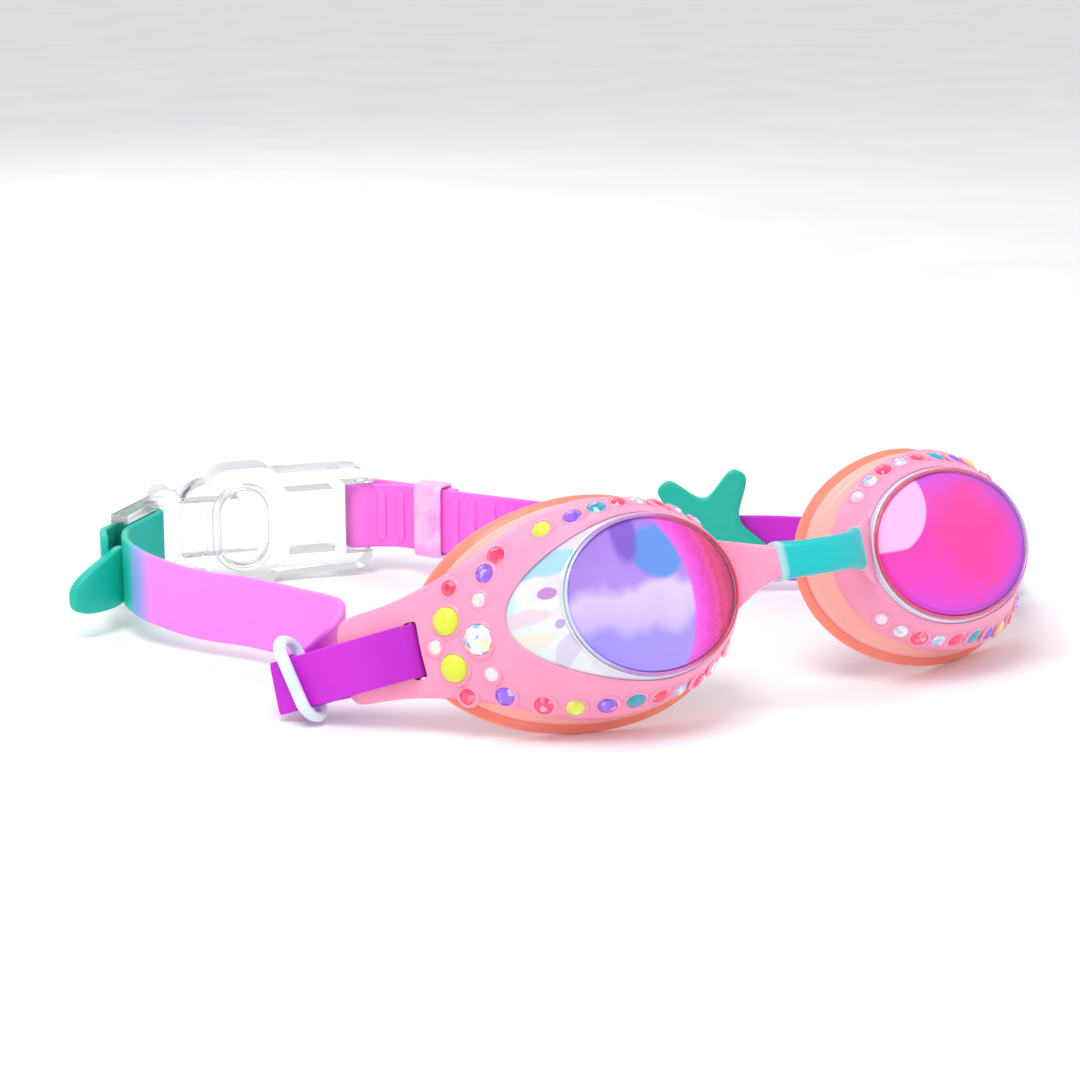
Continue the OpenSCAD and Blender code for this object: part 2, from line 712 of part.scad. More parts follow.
place() right_frame();
place() left_frame();
place() nose_bridge();
place() bridge_band();
place() right_lens();
place() left_lens();
place() right_gasket();
place() left_gasket();
place() right_red_stones();
place() left_red_stones();
place() right_purple_stones();
place() left_purple_stones();
place() right_yellow_stones();
place() left_yellow_stones();
place() right_teal_stones();
place() left_teal_stones();
place() right_crystal_stones();
place() left_crystal_stones();
place() right_clear_stones();
place() left_clear_stones();
place() right_yellow_domes();
place() left_yellow_domes();
place() right_strap_tail();
place() right_strap();
place() left_strap();
place() right_strap_ring();
place() left_strap_ring();
place() strap_keeper();
place() clasp_housing();
place() clasp_insert();
place() release_button();
place() pull_tab();
place() star_charm();
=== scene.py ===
"""Swim goggles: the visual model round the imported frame, laid out as an add-on.

Lengths are worked out in millimetres in the table frame (x across the face, y back, z up) and
placed in metres in the row frame at the last step, by to_row().
"""
import json
import math

import bmesh
import bpy
import numpy as np
from mathutils import Matrix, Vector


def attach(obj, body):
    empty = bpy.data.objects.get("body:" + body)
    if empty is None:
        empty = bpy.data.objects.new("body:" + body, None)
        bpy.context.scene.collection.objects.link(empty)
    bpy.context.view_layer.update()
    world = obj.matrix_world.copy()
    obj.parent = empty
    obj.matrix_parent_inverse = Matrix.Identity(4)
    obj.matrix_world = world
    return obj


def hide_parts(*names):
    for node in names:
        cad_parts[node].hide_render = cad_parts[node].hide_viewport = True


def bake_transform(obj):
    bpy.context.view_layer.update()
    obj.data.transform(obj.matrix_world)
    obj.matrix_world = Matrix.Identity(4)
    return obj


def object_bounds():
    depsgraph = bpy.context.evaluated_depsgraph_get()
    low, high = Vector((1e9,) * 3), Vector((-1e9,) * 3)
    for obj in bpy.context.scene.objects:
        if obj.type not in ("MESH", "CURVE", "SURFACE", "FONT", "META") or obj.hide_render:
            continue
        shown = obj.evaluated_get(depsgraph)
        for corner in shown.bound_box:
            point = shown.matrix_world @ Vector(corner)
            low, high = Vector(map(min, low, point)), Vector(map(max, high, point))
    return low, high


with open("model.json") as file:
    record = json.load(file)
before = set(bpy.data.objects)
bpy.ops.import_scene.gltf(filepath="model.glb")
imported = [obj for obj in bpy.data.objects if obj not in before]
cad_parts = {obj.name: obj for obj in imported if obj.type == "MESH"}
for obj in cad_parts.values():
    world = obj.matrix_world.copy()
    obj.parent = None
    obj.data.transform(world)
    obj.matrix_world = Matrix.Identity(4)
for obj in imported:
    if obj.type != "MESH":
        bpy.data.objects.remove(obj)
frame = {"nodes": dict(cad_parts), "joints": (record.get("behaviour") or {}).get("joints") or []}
CAD_BOX = [list(v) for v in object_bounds()]

bl_info = {
    "name": "Swim goggles",
    "version": (1, 0, 0),
    "blender": (4, 5, 0),
    "location": "View3D > Sidebar > Goggles",
    "description": "Builds jewelled swim goggles, piece by piece, round their packed frame",
    "category": "Object",
}

MM = 0.001

# ---------------------------------------------------------------------------------------------
# Sizes and colours that a user would change
# ---------------------------------------------------------------------------------------------


def length(name, mm, text):
    """A length property with its default given in millimetres."""
    return bpy.props.FloatProperty(name=name, description=text, default=mm * MM, unit="LENGTH")


def hex_to_linear(code):
    """An sRGB hex colour as linear red, green and blue."""
    srgb = np.array([int(code[i : i + 2], 16) for i in (1, 3, 5)]) / 255
    return tuple(np.where(srgb <= 0.04045, srgb / 12.92, ((srgb + 0.055) / 1.055) ** 2.4))


def colour(name, code, text):
    """A colour property with its default given as sRGB hex."""
    return bpy.props.FloatVectorProperty(
        name=name, description=text, subtype="COLOR", size=3, min=0, max=1,
        default=hex_to_linear(code),
    )


class GogglesSizes(bpy.types.PropertyGroup):
    """Sizes of the visible pieces."""

    strap_thickness: length("Strap thickness", 1.6, "Thickness of the silicone strap")
    ring_rod: length("Ring rod", 2.2, "Thickness of the rod of the strap rings")
    charm_thickness: length("Charm thickness", 2.4, "Thickness of the starfish and the pull tab")
    clasp_edge: length("Clasp edge", 0.7, "Radius on the edges of the clasp")
    collar: length("Stone collar", 0.75, "Width of the raised collar round each stone")


class GogglesColours(bpy.types.PropertyGroup):
    """Colours of the moulded pieces."""

    frame_pink: colour("Frame", "#FFA1C4", "Pink of the frames and the bridge")
    coral: colour("Flange", "#FF937F", "Coral of the gasket's flange")
    salmon: colour("Gasket step", "#FFB3A8", "Paler salmon of the gasket's step")
    teal: colour("Band", "#00C2C6", "Teal of the bridge band")
    charm: colour("Charms", "#00BFA9", "Teal of the starfish and the pull tab")
    orchid: colour("Right strap", "#FF8AEE", "Orchid of the wide right strap")
    fuchsia: colour("Strap tails", "#CC20D4", "Fuchsia of the tails and of the left strap")


# ---------------------------------------------------------------------------------------------
# The frames of reference
# ---------------------------------------------------------------------------------------------

LEAN = math.radians(23)         # the window plane leans back from upright by this much
FRONT = (-11.8, 28.5)           # y and z of the window plane's origin in the table frame
CUP_X = 36.7                    # nose line to window centre
WINDOW = np.array([19.3, 15.25])  # half sizes of the front window
SLOPE = 1.5                     # depth gained by the frame's face per millimetre outwards
WING = math.atan(SLOPE)
SIDES = {-1: "right", 1: "left"}
CLASP_Z = 13.7
SWING_AXIS = np.array([-75.93, 44.03, 13.7])

swing = next(j for j in frame["joints"] if j["name"] == "right_strap_swing")
TO_ROW = np.array(swing["pos_m"]) / MM - SWING_AXIS   # the table frame's origin in the row frame


def to_row(points):
    """Table-frame millimetres to row-frame metres."""
    return (np.asarray(points, float) + TO_ROW) * MM


def lean_to_table(x, v, w):
    """Points of the leaned goggle frame (x across, v back, w up the window) in the table frame."""
    c, s = math.cos(LEAN), math.sin(LEAN)
    x, v, w = np.broadcast_arrays(x, v, w)
    return np.stack([x, FRONT[0] + v * c + w * s, FRONT[1] - v * s + w * c], -1)


def cup_point(side, p, v):
    """A front-view point p of a cup, measured from its window centre with x to the temple, at depth v."""
    return lean_to_table(side * (CUP_X + p[..., 0]), v, p[..., 1])


# ---------------------------------------------------------------------------------------------
# Mesh making
# ---------------------------------------------------------------------------------------------


def grid_faces(m, n, wrap):
    """Quads of m looped rows of n points, as vertex numbers; wrap joins the last row to the first."""
    i = np.arange(m if wrap else m - 1)[:, None]
    j = np.arange(n)[None, :]
    i2, j2 = (i + 1) % m, (j + 1) % n
    quads = np.stack([i * n + j, i * n + j2, i2 * n + j2, i2 * n + j], -1)
    return quads.reshape(-1, 4)


def volume_of(points, quads):
    """Signed volume under a shell of quads; it is negative where the faces point inwards."""
    a, b, c, d = (points[quads[:, k]] for k in range(4))
    return float(np.sum(a * np.cross(b, c)) + np.sum(a * np.cross(c, d)))


def tube(rows, closed=False):
    """Vertices and faces of a surface of closed rows: an (m, n, 3) array, each row a loop.

    The last row joins the first if closed; otherwise each end is capped by one flat face."""
    m, n = rows.shape[:2]
    points = rows.reshape(-1, 3)
    quads = grid_faces(m, n, closed)
    faces = quads.tolist()
    if not closed:
        faces += [list(range(n))[::-1], list(range((m - 1) * n, m * n))]
    if volume_of(points - points.mean(0), quads) < 0:
        faces = [f[::-1] for f in faces]
    return points, faces


def joined(parts):
    """Several (points, faces) as one."""
    points, faces, start = [], [], 0
    for p, f in parts:
        points.append(p)
        faces += [[start + k for k in face] for face in f]
        start += len(p)
    return np.concatenate(points), faces


def make_piece(name, shape, body, material, smooth=True, replaces=(), subdivide=0, along=None,
               riding=True):
    """A finished piece from (points in the table frame, faces), with its material and its ride.

    along is one number for each point, kept as the attribute "along" for the material to read."""
    points, faces = shape
    mesh = bpy.data.meshes.new(name)
    mesh.from_pydata(to_row(points).tolist(), [], faces)
    mesh.polygons.foreach_set("use_smooth", np.full(len(mesh.polygons), smooth))
    if along is not None:
        mesh.attributes.new("along", "FLOAT", "POINT").data.foreach_set(
            "value", np.asarray(along, np.float32).ravel())
    obj = bpy.data.objects.new(name, mesh)
    bpy.context.scene.collection.objects.link(obj)
    mesh.materials.append(material)
    if subdivide:
        soften = obj.modifiers.new("Smooth", "SUBSURF")
        soften.levels = soften.render_levels = subdivide
    if riding:
        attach(obj, body)
    if replaces:
        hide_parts(*replaces)
    return obj


def rounded_copy(name, node, body, material, edge):
    """A CAD node's own shape with its edges rolled over by a bevel."""
    mesh = frame["nodes"][node].data.copy()
    solid = bmesh.new()
    solid.from_mesh(mesh)
    bmesh.ops.remove_doubles(solid, verts=solid.verts, dist=0.002 * MM)
    bmesh.ops.dissolve_limit(
        solid, angle_limit=math.radians(1), verts=solid.verts, edges=solid.edges)
    solid.to_mesh(mesh)
    solid.free()
    mesh.materials.clear()
    mesh.materials.append(material)
    mesh.polygons.foreach_set("use_smooth", np.full(len(mesh.polygons), True))
    mesh.set_sharp_from_angle(angle=math.radians(40))
    obj = bpy.data.objects.new(name, mesh)
    bpy.context.scene.collection.objects.link(obj)
    bevel = obj.modifiers.new("Rolled edges", "BEVEL")
    bevel.width, bevel.segments = edge, 3
    bevel.limit_method, bevel.angle_limit = "ANGLE", math.radians(38)
    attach(obj, body)
    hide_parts(node)
    return obj


def rounded_section(half_w, half_t, corner, per_corner=5):
    """A rectangle with round corners as a closed (n, 2) loop: corner centres plus quarter arcs."""
    a = np.linspace(0, 90, per_corner)
    turn = np.radians(np.concatenate([a, a + 90, a + 180, a + 270]))
    sx = np.repeat([1, -1, -1, 1], per_corner)
    sy = np.repeat([1, 1, -1, -1], per_corner)
    return np.stack([sx * (half_w - corner) + corner * np.cos(turn),
                     sy * (half_t - corner) + corner * np.sin(turn)], -1)


def cushion(outline, centre, depth, edge, crown=0.0):
    """Rows of a flat piece with rolled edges, as (across, up, depth) from a closed outline.

    Each side's rows shrink the outline towards its centre along a quarter circle of radius edge,
    then to the middle with a rise of crown, by (1 - share squared)."""
    r = np.linalg.norm(outline - centre, axis=1).mean()
    quarter = np.linspace(0, math.pi / 2, 5)
    inset = edge * (1 - np.cos(quarter)) / r
    rise = edge * np.sin(quarter) - edge
    share = np.linspace(1, 0.02, 6)[1:]
    shrink = np.concatenate([1 - inset, (1 - inset[-1]) * share])
    height = depth / 2 + np.concatenate([rise, crown * (1 - share**2)])
    shrink = np.concatenate([shrink[::-1], shrink])
    height = np.concatenate([height[::-1], -height])
    flat = centre + (outline - centre)[None] * shrink[:, None, None]
    return np.concatenate([flat, np.broadcast_to(height[:, None, None], flat.shape[:2] + (1,))], -1)


def carried(rows, at, right, up, out):
    """Rows of (across, up, depth) placed at a point on three directions."""
    axes = np.array([right, up, out], float)
    return np.asarray(at, float) + rows @ axes


# ---------------------------------------------------------------------------------------------
# Materials
# ---------------------------------------------------------------------------------------------


def add_node(tree, kind, inputs=None, output=None, stops=(), **settings):
    """One node, with its settings, and its inputs set to values or linked to other nodes' outputs.

    stops are a colour ramp's, as (place, hex or colour). With output, that output is given back in
    place of the node."""
    node = tree.nodes.new(kind)
    for key, value in settings.items():
        setattr(node, key, value)
    for key, value in (inputs or {}).items():
        if isinstance(value, bpy.types.NodeSocket):
            tree.links.new(value, node.inputs[key])
        else:
            node.inputs[key].default_value = value
    for number, (place, code) in enumerate(stops):
        elements = node.color_ramp.elements
        element = elements[number] if number < len(elements) else elements.new(1.0)
        element.position, element.color = place, rgba(code)
    return node if output is None else node.outputs[output]


def rgba(code):
    """A linear colour with alpha, from sRGB hex or from a colour property."""
    return (*(hex_to_linear(code) if isinstance(code, str) else tuple(code)), 1.0)


def new_material(name):
    """An empty node material and its tree, with one Principled shader joined to the output."""
    material = bpy.data.materials.new(name)
    material.use_nodes = True
    tree = material.node_tree
    tree.nodes.clear()
    shader = add_node(tree, "ShaderNodeBsdfPrincipled")
    add_node(tree, "ShaderNodeOutputMaterial", {"Surface": shader.outputs[0]})
    return material, tree, shader


def set_shader(shader, **values):
    """Sets sockets of the shader by name, with underscores for spaces."""
    for key, value in values.items():
        shader.inputs[key.replace("_", " ")].default_value = value


def object_noise(tree, scale_mm, detail=3.0):
    """Noise on object coordinates whose grains are about scale_mm across."""
    place = add_node(tree, "ShaderNodeTexCoord").outputs["Object"]
    return add_node(tree, "ShaderNodeTexNoise", {
        "Vector": place, "Scale": 1 / (scale_mm * MM), "Detail": detail,
    }).outputs["Fac"]


def shade(tree, base, light, factor):
    """A colour that drifts between two near shades over the middle third of a noise."""
    stops = [(0.35, base), (0.65, light)]
    return add_node(tree, "ShaderNodeValToRGB", {"Fac": factor}, "Color", stops=stops)


def lighter(code, amount):
    """A colour moved towards white."""
    base = np.array(rgba(code)[:3])
    return tuple(base + (1 - base) * amount)


def deeper(code, amount):
    """A colour made deeper: each channel raised to a power above one."""
    return tuple(np.array(rgba(code)[:3]) ** (1 + amount))


def moulded_tpe(name, code, roughness=0.36, glow=0.22):
    """Injection-moulded thermoplastic elastomer, satin from a spark-eroded tool.

    Light goes a little way in, so edges look soft and warm, and a grain of about 0.4 mm, drawn
    coarser than the real 0.05 mm so that it shows, breaks up the highlights."""
    material, tree, shader = new_material(name)
    tree.links.new(shade(tree, deeper(code, 0.06), lighter(code, 0.012), object_noise(tree, 9)),
                   shader.inputs["Base Color"])
    tree.links.new(
        add_node(
            tree, "ShaderNodeBump",
            {"Strength": 0.3, "Distance": 0.03 * MM, "Height": object_noise(tree, 0.4, 2)}, "Normal"),
        shader.inputs["Normal"])
    set_shader(shader, Roughness=roughness, IOR=1.42, Coat_Weight=0.12, Coat_Roughness=0.15,
               Subsurface_Weight=glow, Subsurface_Radius=(1.0, 0.55, 0.5), Subsurface_Scale=1.6 * MM)
    return material


def silicone_run(name, stops, roughness=0.48):
    """Moulded silicone whose colour changes along the strap: the pigment of a two-shot ombre mould, plus
    painted shade and painted highlights where the stops put them.

    The attribute "along" runs from 0 to 1 with the strap's length. A dusty grain of 0.5 mm keeps
    the sheen matt, and light scatters a little inside."""
    material, tree, shader = new_material(name)
    along = add_node(tree, "ShaderNodeAttribute", attribute_name="along").outputs["Fac"]
    dust = object_noise(tree, 6)
    colour_run = add_node(tree, "ShaderNodeValToRGB", {"Fac": along}, "Color", stops=stops)
    colour_run.node.color_ramp.interpolation = "EASE"
    bloom = add_node(tree, "ShaderNodeMath", {0: dust, 1: 0.02}, operation="MULTIPLY").outputs[0]
    tree.links.new(
        add_node(
            tree, "ShaderNodeMix", {0: bloom, 6: colour_run, 7: (1, 0.9, 1, 1)}, 2, data_type="RGBA"),
        shader.inputs["Base Color"])
    tree.links.new(
        add_node(
            tree, "ShaderNodeBump",
            {"Strength": 0.3, "Distance": 0.03 * MM, "Height": object_noise(tree, 0.5, 2)}, "Normal"),
        shader.inputs["Normal"])
    set_shader(shader, Roughness=roughness, IOR=1.41, Subsurface_Weight=0.12,
               Subsurface_Radius=(1.0, 0.4, 0.9), Subsurface_Scale=1.0 * MM)
    return material


def two_layer_silicone(colours):
    """Face gasket of overmoulded silicone: a pale salmon step, then the coral flange.

    The attribute "along" runs round the section, so the change of colour follows the step."""
    material, tree, shader = new_material("Overmoulded gasket silicone")
    along = add_node(tree, "ShaderNodeAttribute", attribute_name="along").outputs["Fac"]
    layers = add_node(
        tree, "ShaderNodeValToRGB", {"Fac": along}, "Color",
        stops=[
            (0.0, colours.salmon), (0.4, lighter(colours.salmon, 0.1)),
            # Deeper coral in the groove where the step meets the flange is painted shade.
            (0.45, deeper(colours.coral, 0.2)), (0.5, colours.coral), (0.72, colours.coral),
            (1.0, lighter(colours.coral, 0.12))])
    tree.links.new(layers, shader.inputs["Base Color"])
    tree.links.new(
        add_node(
            tree, "ShaderNodeBump",
            {"Strength": 0.3, "Distance": 0.03 * MM, "Height": object_noise(tree, 0.5, 2)}, "Normal"),
        shader.inputs["Normal"])
    set_shader(shader, Roughness=0.38, IOR=1.43, Coat_Weight=0.15, Coat_Roughness=0.25,
               Subsurface_Weight=0.28, Subsurface_Radius=(1.0, 0.5, 0.35), Subsurface_Scale=2 * MM)
    return material


def faceted_acrylic(name, code, spark):
    """Cast acrylic stone with a foil back: deep colour, with painted shade and a pale painted glint on
    the facets.

    Cells of about 1 mm, not matched to the facets, run from a deeper shade through the colour to the
    glint, painted for how each facet catches light."""
    material, tree, shader = new_material(name)
    place = add_node(tree, "ShaderNodeTexCoord").outputs["Object"]
    cells = add_node(tree, "ShaderNodeTexVoronoi", {"Vector": place, "Scale": 1 / (1.1 * MM)})
    tone = add_node(tree, "ShaderNodeSeparateColor", {"Color": cells.outputs["Color"]}).outputs["Red"]
    # Deeper cells are painted shade on the facets, and the palest take the pale colour as a painted
    # glint.
    tree.links.new(
        add_node(
            tree, "ShaderNodeValToRGB", {"Fac": tone}, "Color",
            stops=[(0.0, deeper(code, 0.5)), (0.5, code), (0.85, code), (1.0, spark)]),
        shader.inputs["Base Color"])
    set_shader(shader, Roughness=0.08, IOR=1.49, Coat_Weight=0.8, Coat_Roughness=0.03,
               Specular_IOR_Level=0.7)
    return material


def foiled_crystal(name, body, tints):
    """Clear stone with an iridescent foil: near white, with facets that flash pastel colours."""
    material, tree, shader = new_material(name)
    place = add_node(tree, "ShaderNodeTexCoord").outputs["Object"]
    cells = add_node(tree, "ShaderNodeTexVoronoi", {"Vector": place, "Scale": 1 / (1.3 * MM)})
    tone = add_node(tree, "ShaderNodeSeparateColor", {"Color": cells.outputs["Color"]}).outputs["Green"]
    stops = [(0.0, body), (0.42, body), (0.5, tints[0]), (0.62, body), (0.74, tints[1]), (0.9, tints[2])]
    tree.links.new(
        add_node(tree, "ShaderNodeValToRGB", {"Fac": tone}, "Color", stops=stops),
        shader.inputs["Base Color"])
    set_shader(shader, Roughness=0.06, IOR=1.54, Coat_Weight=1.0, Coat_Roughness=0.02,
               Specular_IOR_Level=0.8, Metallic=0.15)
    return material


def window_place(tree, side):
    """Two numbers across and up the window, each from -1 at one edge to 1 at the other.

    They are worked out from object coordinates: across runs to the wearer's left, up follows the
    leaned plane."""
    centre = to_row(lean_to_table(side * CUP_X, 0.0, 0.0))
    place = add_node(tree, "ShaderNodeTexCoord").outputs["Object"]
    local = add_node(tree, "ShaderNodeVectorMath", {0: place, 1: tuple(centre)}, operation="SUBTRACT")
    across = add_node(tree, "ShaderNodeVectorMath", {
        0: local.outputs[0], 1: (1 / (WINDOW[0] * MM), 0, 0)}, operation="DOT_PRODUCT")
    up = add_node(tree, "ShaderNodeVectorMath", {
        0: local.outputs[0],
        1: (0, math.sin(LEAN) / (WINDOW[1] * MM), math.cos(LEAN) / (WINDOW[1] * MM))},
        operation="DOT_PRODUCT")
    return across.outputs["Value"], up.outputs["Value"]


def distance_from(tree, across, up, centre, radii, warp=None):
    """How far a window point is from an ellipse's centre, counted in its radii."""
    x = add_node(
        tree, "ShaderNodeMath",
        {
            0: add_node(tree, "ShaderNodeMath", {0: across, 1: centre[0]}, 0, operation="SUBTRACT"),
            1: radii[0]},
        0, operation="DIVIDE")
    y = add_node(
        tree, "ShaderNodeMath",
        {
            0: add_node(tree, "ShaderNodeMath", {0: up, 1: centre[1]}, 0, operation="SUBTRACT"),
            1: radii[1]},
        0, operation="DIVIDE")
    square = add_node(
        tree, "ShaderNodeMath",
        {
            0: add_node(tree, "ShaderNodeMath", {0: x, 1: x}, 0, operation="MULTIPLY"),
            1: add_node(tree, "ShaderNodeMath", {0: y, 1: y}, 0, operation="MULTIPLY")},
        0, operation="ADD")
    r = add_node(tree, "ShaderNodeMath", {0: square}, 0, operation="SQRT")
    if warp is None:
        return r
    return add_node(tree, "ShaderNodeMath", {0: r, 1: warp}, 0, operation="ADD")


def mirror_window(side):
    """Polycarbonate window with a vacuum-laid mirror coat, with painted reflections over the window.

    The right one goes from violet and lavender to a magenta wall at the nose side; the left one is
    hot magenta with a pale pink field. Both carry painted reflections, and the pale pink field is a
    painted highlight. The coat is glossy like metal under a clear hard layer."""
    name = "Violet mirror coat with painted reflections" if side < 0 else "Magenta mirror coat with painted reflections"
    material, tree, shader = new_material(name)
    across, up = window_place(tree, side)
    cloud = add_node(
        tree, "ShaderNodeMath",
        {
            0: add_node(
                tree, "ShaderNodeMath", {0: object_noise(tree, 9, 2), 1: 0.5}, 0, operation="SUBTRACT"),
            1: 0.7},
        0, operation="MULTIPLY")
    height = add_node(
        tree, "ShaderNodeMath",
        {0: add_node(tree, "ShaderNodeMath", {0: up, 1: cloud}, 0, operation="ADD"), 1: 0.5, 2: 0.5},
        0, operation="MULTIPLY_ADD")
    if side < 0:
        # A pale lavender band a little below the middle is a painted reflection.
        field = add_node(
            tree, "ShaderNodeValToRGB", {"Fac": height}, "Color",
            stops=[
                (0.0, "#AE98FA"), (0.24, "#A796FA"), (0.33, "#D2BCFF"), (0.52, "#E2CCFF"),
                (0.62, "#B48CEC"), (1.0, "#A878E8")])
        # A blue patch up in the middle is a painted reflection.
        blue = add_node(
            tree, "ShaderNodeMapRange",
            {
                "Value": distance_from(tree, across, up, (0.16, 0.52), (0.4, 0.36), cloud),
                "From Min": 1.0, "From Max": 0.75},
            "Result", interpolation_type="SMOOTHSTEP")
        field = add_node(
            tree, "ShaderNodeMix", {0: blue, 6: field, 7: rgba("#5E92E6")}, 2, data_type="RGBA")
        # A deeper violet patch high up is a painted reflection.
        painted_dark = add_node(
            tree, "ShaderNodeMapRange",
            {
                "Value": distance_from(tree, across, up, (-0.2, 0.78), (0.16, 0.42), cloud),
                "From Min": 1.1, "From Max": 0.6},
            "Result", interpolation_type="SMOOTHSTEP")
        field = add_node(
            tree, "ShaderNodeMix",
            {
                0: add_node(tree, "ShaderNodeMath", {0: painted_dark, 1: 0.8}, 0, operation="MULTIPLY"),
                6: field, 7: rgba("#7A48C8")},
            2, data_type="RGBA")
        # The frame's inner wall is painted in as a magenta band at the nose side, deepening to crimson
        # towards the edge.
        wall = distance_from(tree, across, up, (-0.5, -0.05), (0.97, 1.35))
        stops = [(0.0, "#F05CE4"), (0.2, "#EA40CC"), (0.42, "#E238A6"), (0.55, "#E6489C"),
                 (0.68, "#D63480"), (0.8, "#DA4078"), (1.0, "#B42868")]
        streaks = add_node(
            tree, "ShaderNodeMath",
            {
                0: add_node(
                    tree, "ShaderNodeMath", {0: object_noise(tree, 1.6), 1: 0.5}, 0,
                    operation="SUBTRACT"),
                1: 0.16},
            0, operation="MULTIPLY")
        band = add_node(
            tree, "ShaderNodeValToRGB",
            {
                "Fac": add_node(
                    tree, "ShaderNodeMapRange",
                    {
                        "Value": add_node(
                            tree, "ShaderNodeMath", {0: wall, 1: streaks}, 0, operation="ADD"),
                        "From Min": 0.98, "From Max": 1.52},
                    "Result", interpolation_type="SMOOTHSTEP")},
            "Color", stops=stops)
        field = add_node(
            tree, "ShaderNodeMix",
            {
                0: add_node(
                    tree, "ShaderNodeMapRange", {"Value": wall, "From Min": 0.96, "From Max": 1.02},
                    "Result", interpolation_type="SMOOTHSTEP"),
                6: field, 7: band},
            2, data_type="RGBA")
    else:
        field = add_node(
            tree, "ShaderNodeValToRGB", {"Fac": height}, "Color",
            stops=[
                (0.0, "#DC3CD8"), (0.3, "#F22CBE"), (0.6, "#EC30B4"), (0.85, "#E845C8"),
                (1.0, "#D64BE0")])
        fine = add_node(
            tree, "ShaderNodeMath",
            {
                0: add_node(
                    tree, "ShaderNodeMath", {0: object_noise(tree, 2.2), 1: 0.5}, 0,
                    operation="SUBTRACT"),
                1: 1.6},
            0, operation="MULTIPLY")
        # A red upright band is a painted reflection.
        warm = add_node(
            tree, "ShaderNodeMapRange",
            {
                "Value": distance_from(tree, across, up, (0.25, 0.1), (0.5, 1.1), fine),
                "From Min": 1.25, "From Max": 0.3},
            "Result", interpolation_type="SMOOTHSTEP")
        field = add_node(
            tree, "ShaderNodeMix",
            {
                0: add_node(tree, "ShaderNodeMath", {0: warm, 1: 0.6}, 0, operation="MULTIPLY"),
                6: field, 7: rgba("#F7308E")},
            2, data_type="RGBA")
        # Purple towards the window's edge is a painted reflection.
        edge = add_node(
            tree, "ShaderNodeMapRange",
            {
                "Value": distance_from(tree, across, up, (-0.12, 0.02), (1.05, 1.02)), "From Min": 0.8,
                "From Max": 1.12},
            "Result", interpolation_type="SMOOTHSTEP")
        field = add_node(
            tree, "ShaderNodeMix", {0: edge, 6: field, 7: rgba("#A347D9")}, 2, data_type="RGBA")
        # A pale pink field on the upper nose side is a painted highlight.
        pale = add_node(
            tree, "ShaderNodeMapRange",
            {
                "Value": distance_from(tree, across, up, (-0.86, 0.62), (0.62, 0.66)),
                "From Min": 1.02, "From Max": 0.96},
            "Result", interpolation_type="SMOOTHSTEP")
        flat = add_node(
            tree, "ShaderNodeMapRange", {"Value": up, "From Min": 0.0, "From Max": 0.05}, "Result",
            interpolation_type="SMOOTHSTEP")
        field = add_node(
            tree, "ShaderNodeMix",
            {
                0: add_node(tree, "ShaderNodeMath", {0: pale, 1: flat}, 0, operation="MULTIPLY"),
                6: field, 7: rgba("#FFBDF6")},
            2, data_type="RGBA")
    tree.links.new(field, shader.inputs["Base Color"])
    set_shader(shader, Metallic=0.25, Roughness=0.2, Coat_Weight=0.5, Coat_Roughness=0.02, Coat_IOR=1.5,
               IOR=1.45)
    return material


def iridescent_side(side):
    """Clear polycarbonate side window with a thin interference coat.

    The coat breaks into broad pale areas: pearl white, sky blue and mint along the upper edge, a
    rose one below, and small violet ones beside the front window. Their edges wander by about
    a millimetre."""
    material, tree, shader = new_material("Iridescent " + SIDES[side] + " side window")
    across, up = window_place(tree, side)
    temple = add_node(tree, "ShaderNodeMath", {0: across, 1: float(side)}, 0, operation="MULTIPLY")
    wander = add_node(
        tree, "ShaderNodeMath",
        {
            0: add_node(
                tree, "ShaderNodeMath", {0: object_noise(tree, 3, 1), 1: 0.5}, 0, operation="SUBTRACT"),
            1: 0.5},
        0, operation="MULTIPLY")
    run = add_node(
        tree, "ShaderNodeMath",
        {0: temple, 1: add_node(tree, "ShaderNodeMath", {0: up, 1: -0.35}, 0, operation="MULTIPLY")},
        0, operation="ADD")
    field = add_node(
        tree, "ShaderNodeValToRGB",
        {
            "Fac": add_node(
                tree, "ShaderNodeMath",
                {0: add_node(tree, "ShaderNodeMath", {0: run, 1: wander}, 0, operation="ADD"), 1: 0.5},
                0, operation="MULTIPLY")},
        "Color",
        stops=[
            (0.0, "#F4E6FF"), (0.4, "#F3EDFA"), (0.55, "#FFFFFF"), (0.66, "#EFF9FF"),
            (0.78, "#C4F1FF"), (0.9, "#FFFFFF")])
    for code, centre, radii in [
            ("#A9E4F8", (1.02, 0.62), (0.34, 0.16)), ("#DDF8FF", (1.42, 0.28), (0.16, 0.3)),
            ("#FFDDF0", (1.28, 0.0), (0.2, 0.1)), ("#CC6FDD", (1.08, 0.24), (0.06, 0.08)),
            ("#C39AF2", (1.05, -0.16), (0.03, 0.06)), ("#EADBFF", (0.98, -0.5), (0.08, 0.2)),
            ("#FFF3E2", (1.3, -0.3), (0.22, 0.12))]:
        patch = add_node(
            tree, "ShaderNodeMapRange",
            {
                "Value": distance_from(tree, temple, up, centre, radii, wander), "From Min": 1.1,
                "From Max": 0.85},
            "Result", interpolation_type="SMOOTHSTEP")
        field = add_node(
            tree, "ShaderNodeMix",
            {
                0: add_node(tree, "ShaderNodeMath", {0: patch, 1: 0.85}, 0, operation="MULTIPLY"),
                6: field, 7: rgba(code)},
            2, data_type="RGBA")
    tree.links.new(field, shader.inputs["Base Color"])
    set_shader(shader, Roughness=0.07, IOR=1.5, Transmission_Weight=0.2, Coat_Weight=1.0,
               Coat_Roughness=0.02, Thin_Film_Thickness=420.0, Thin_Film_IOR=1.35)
    return material


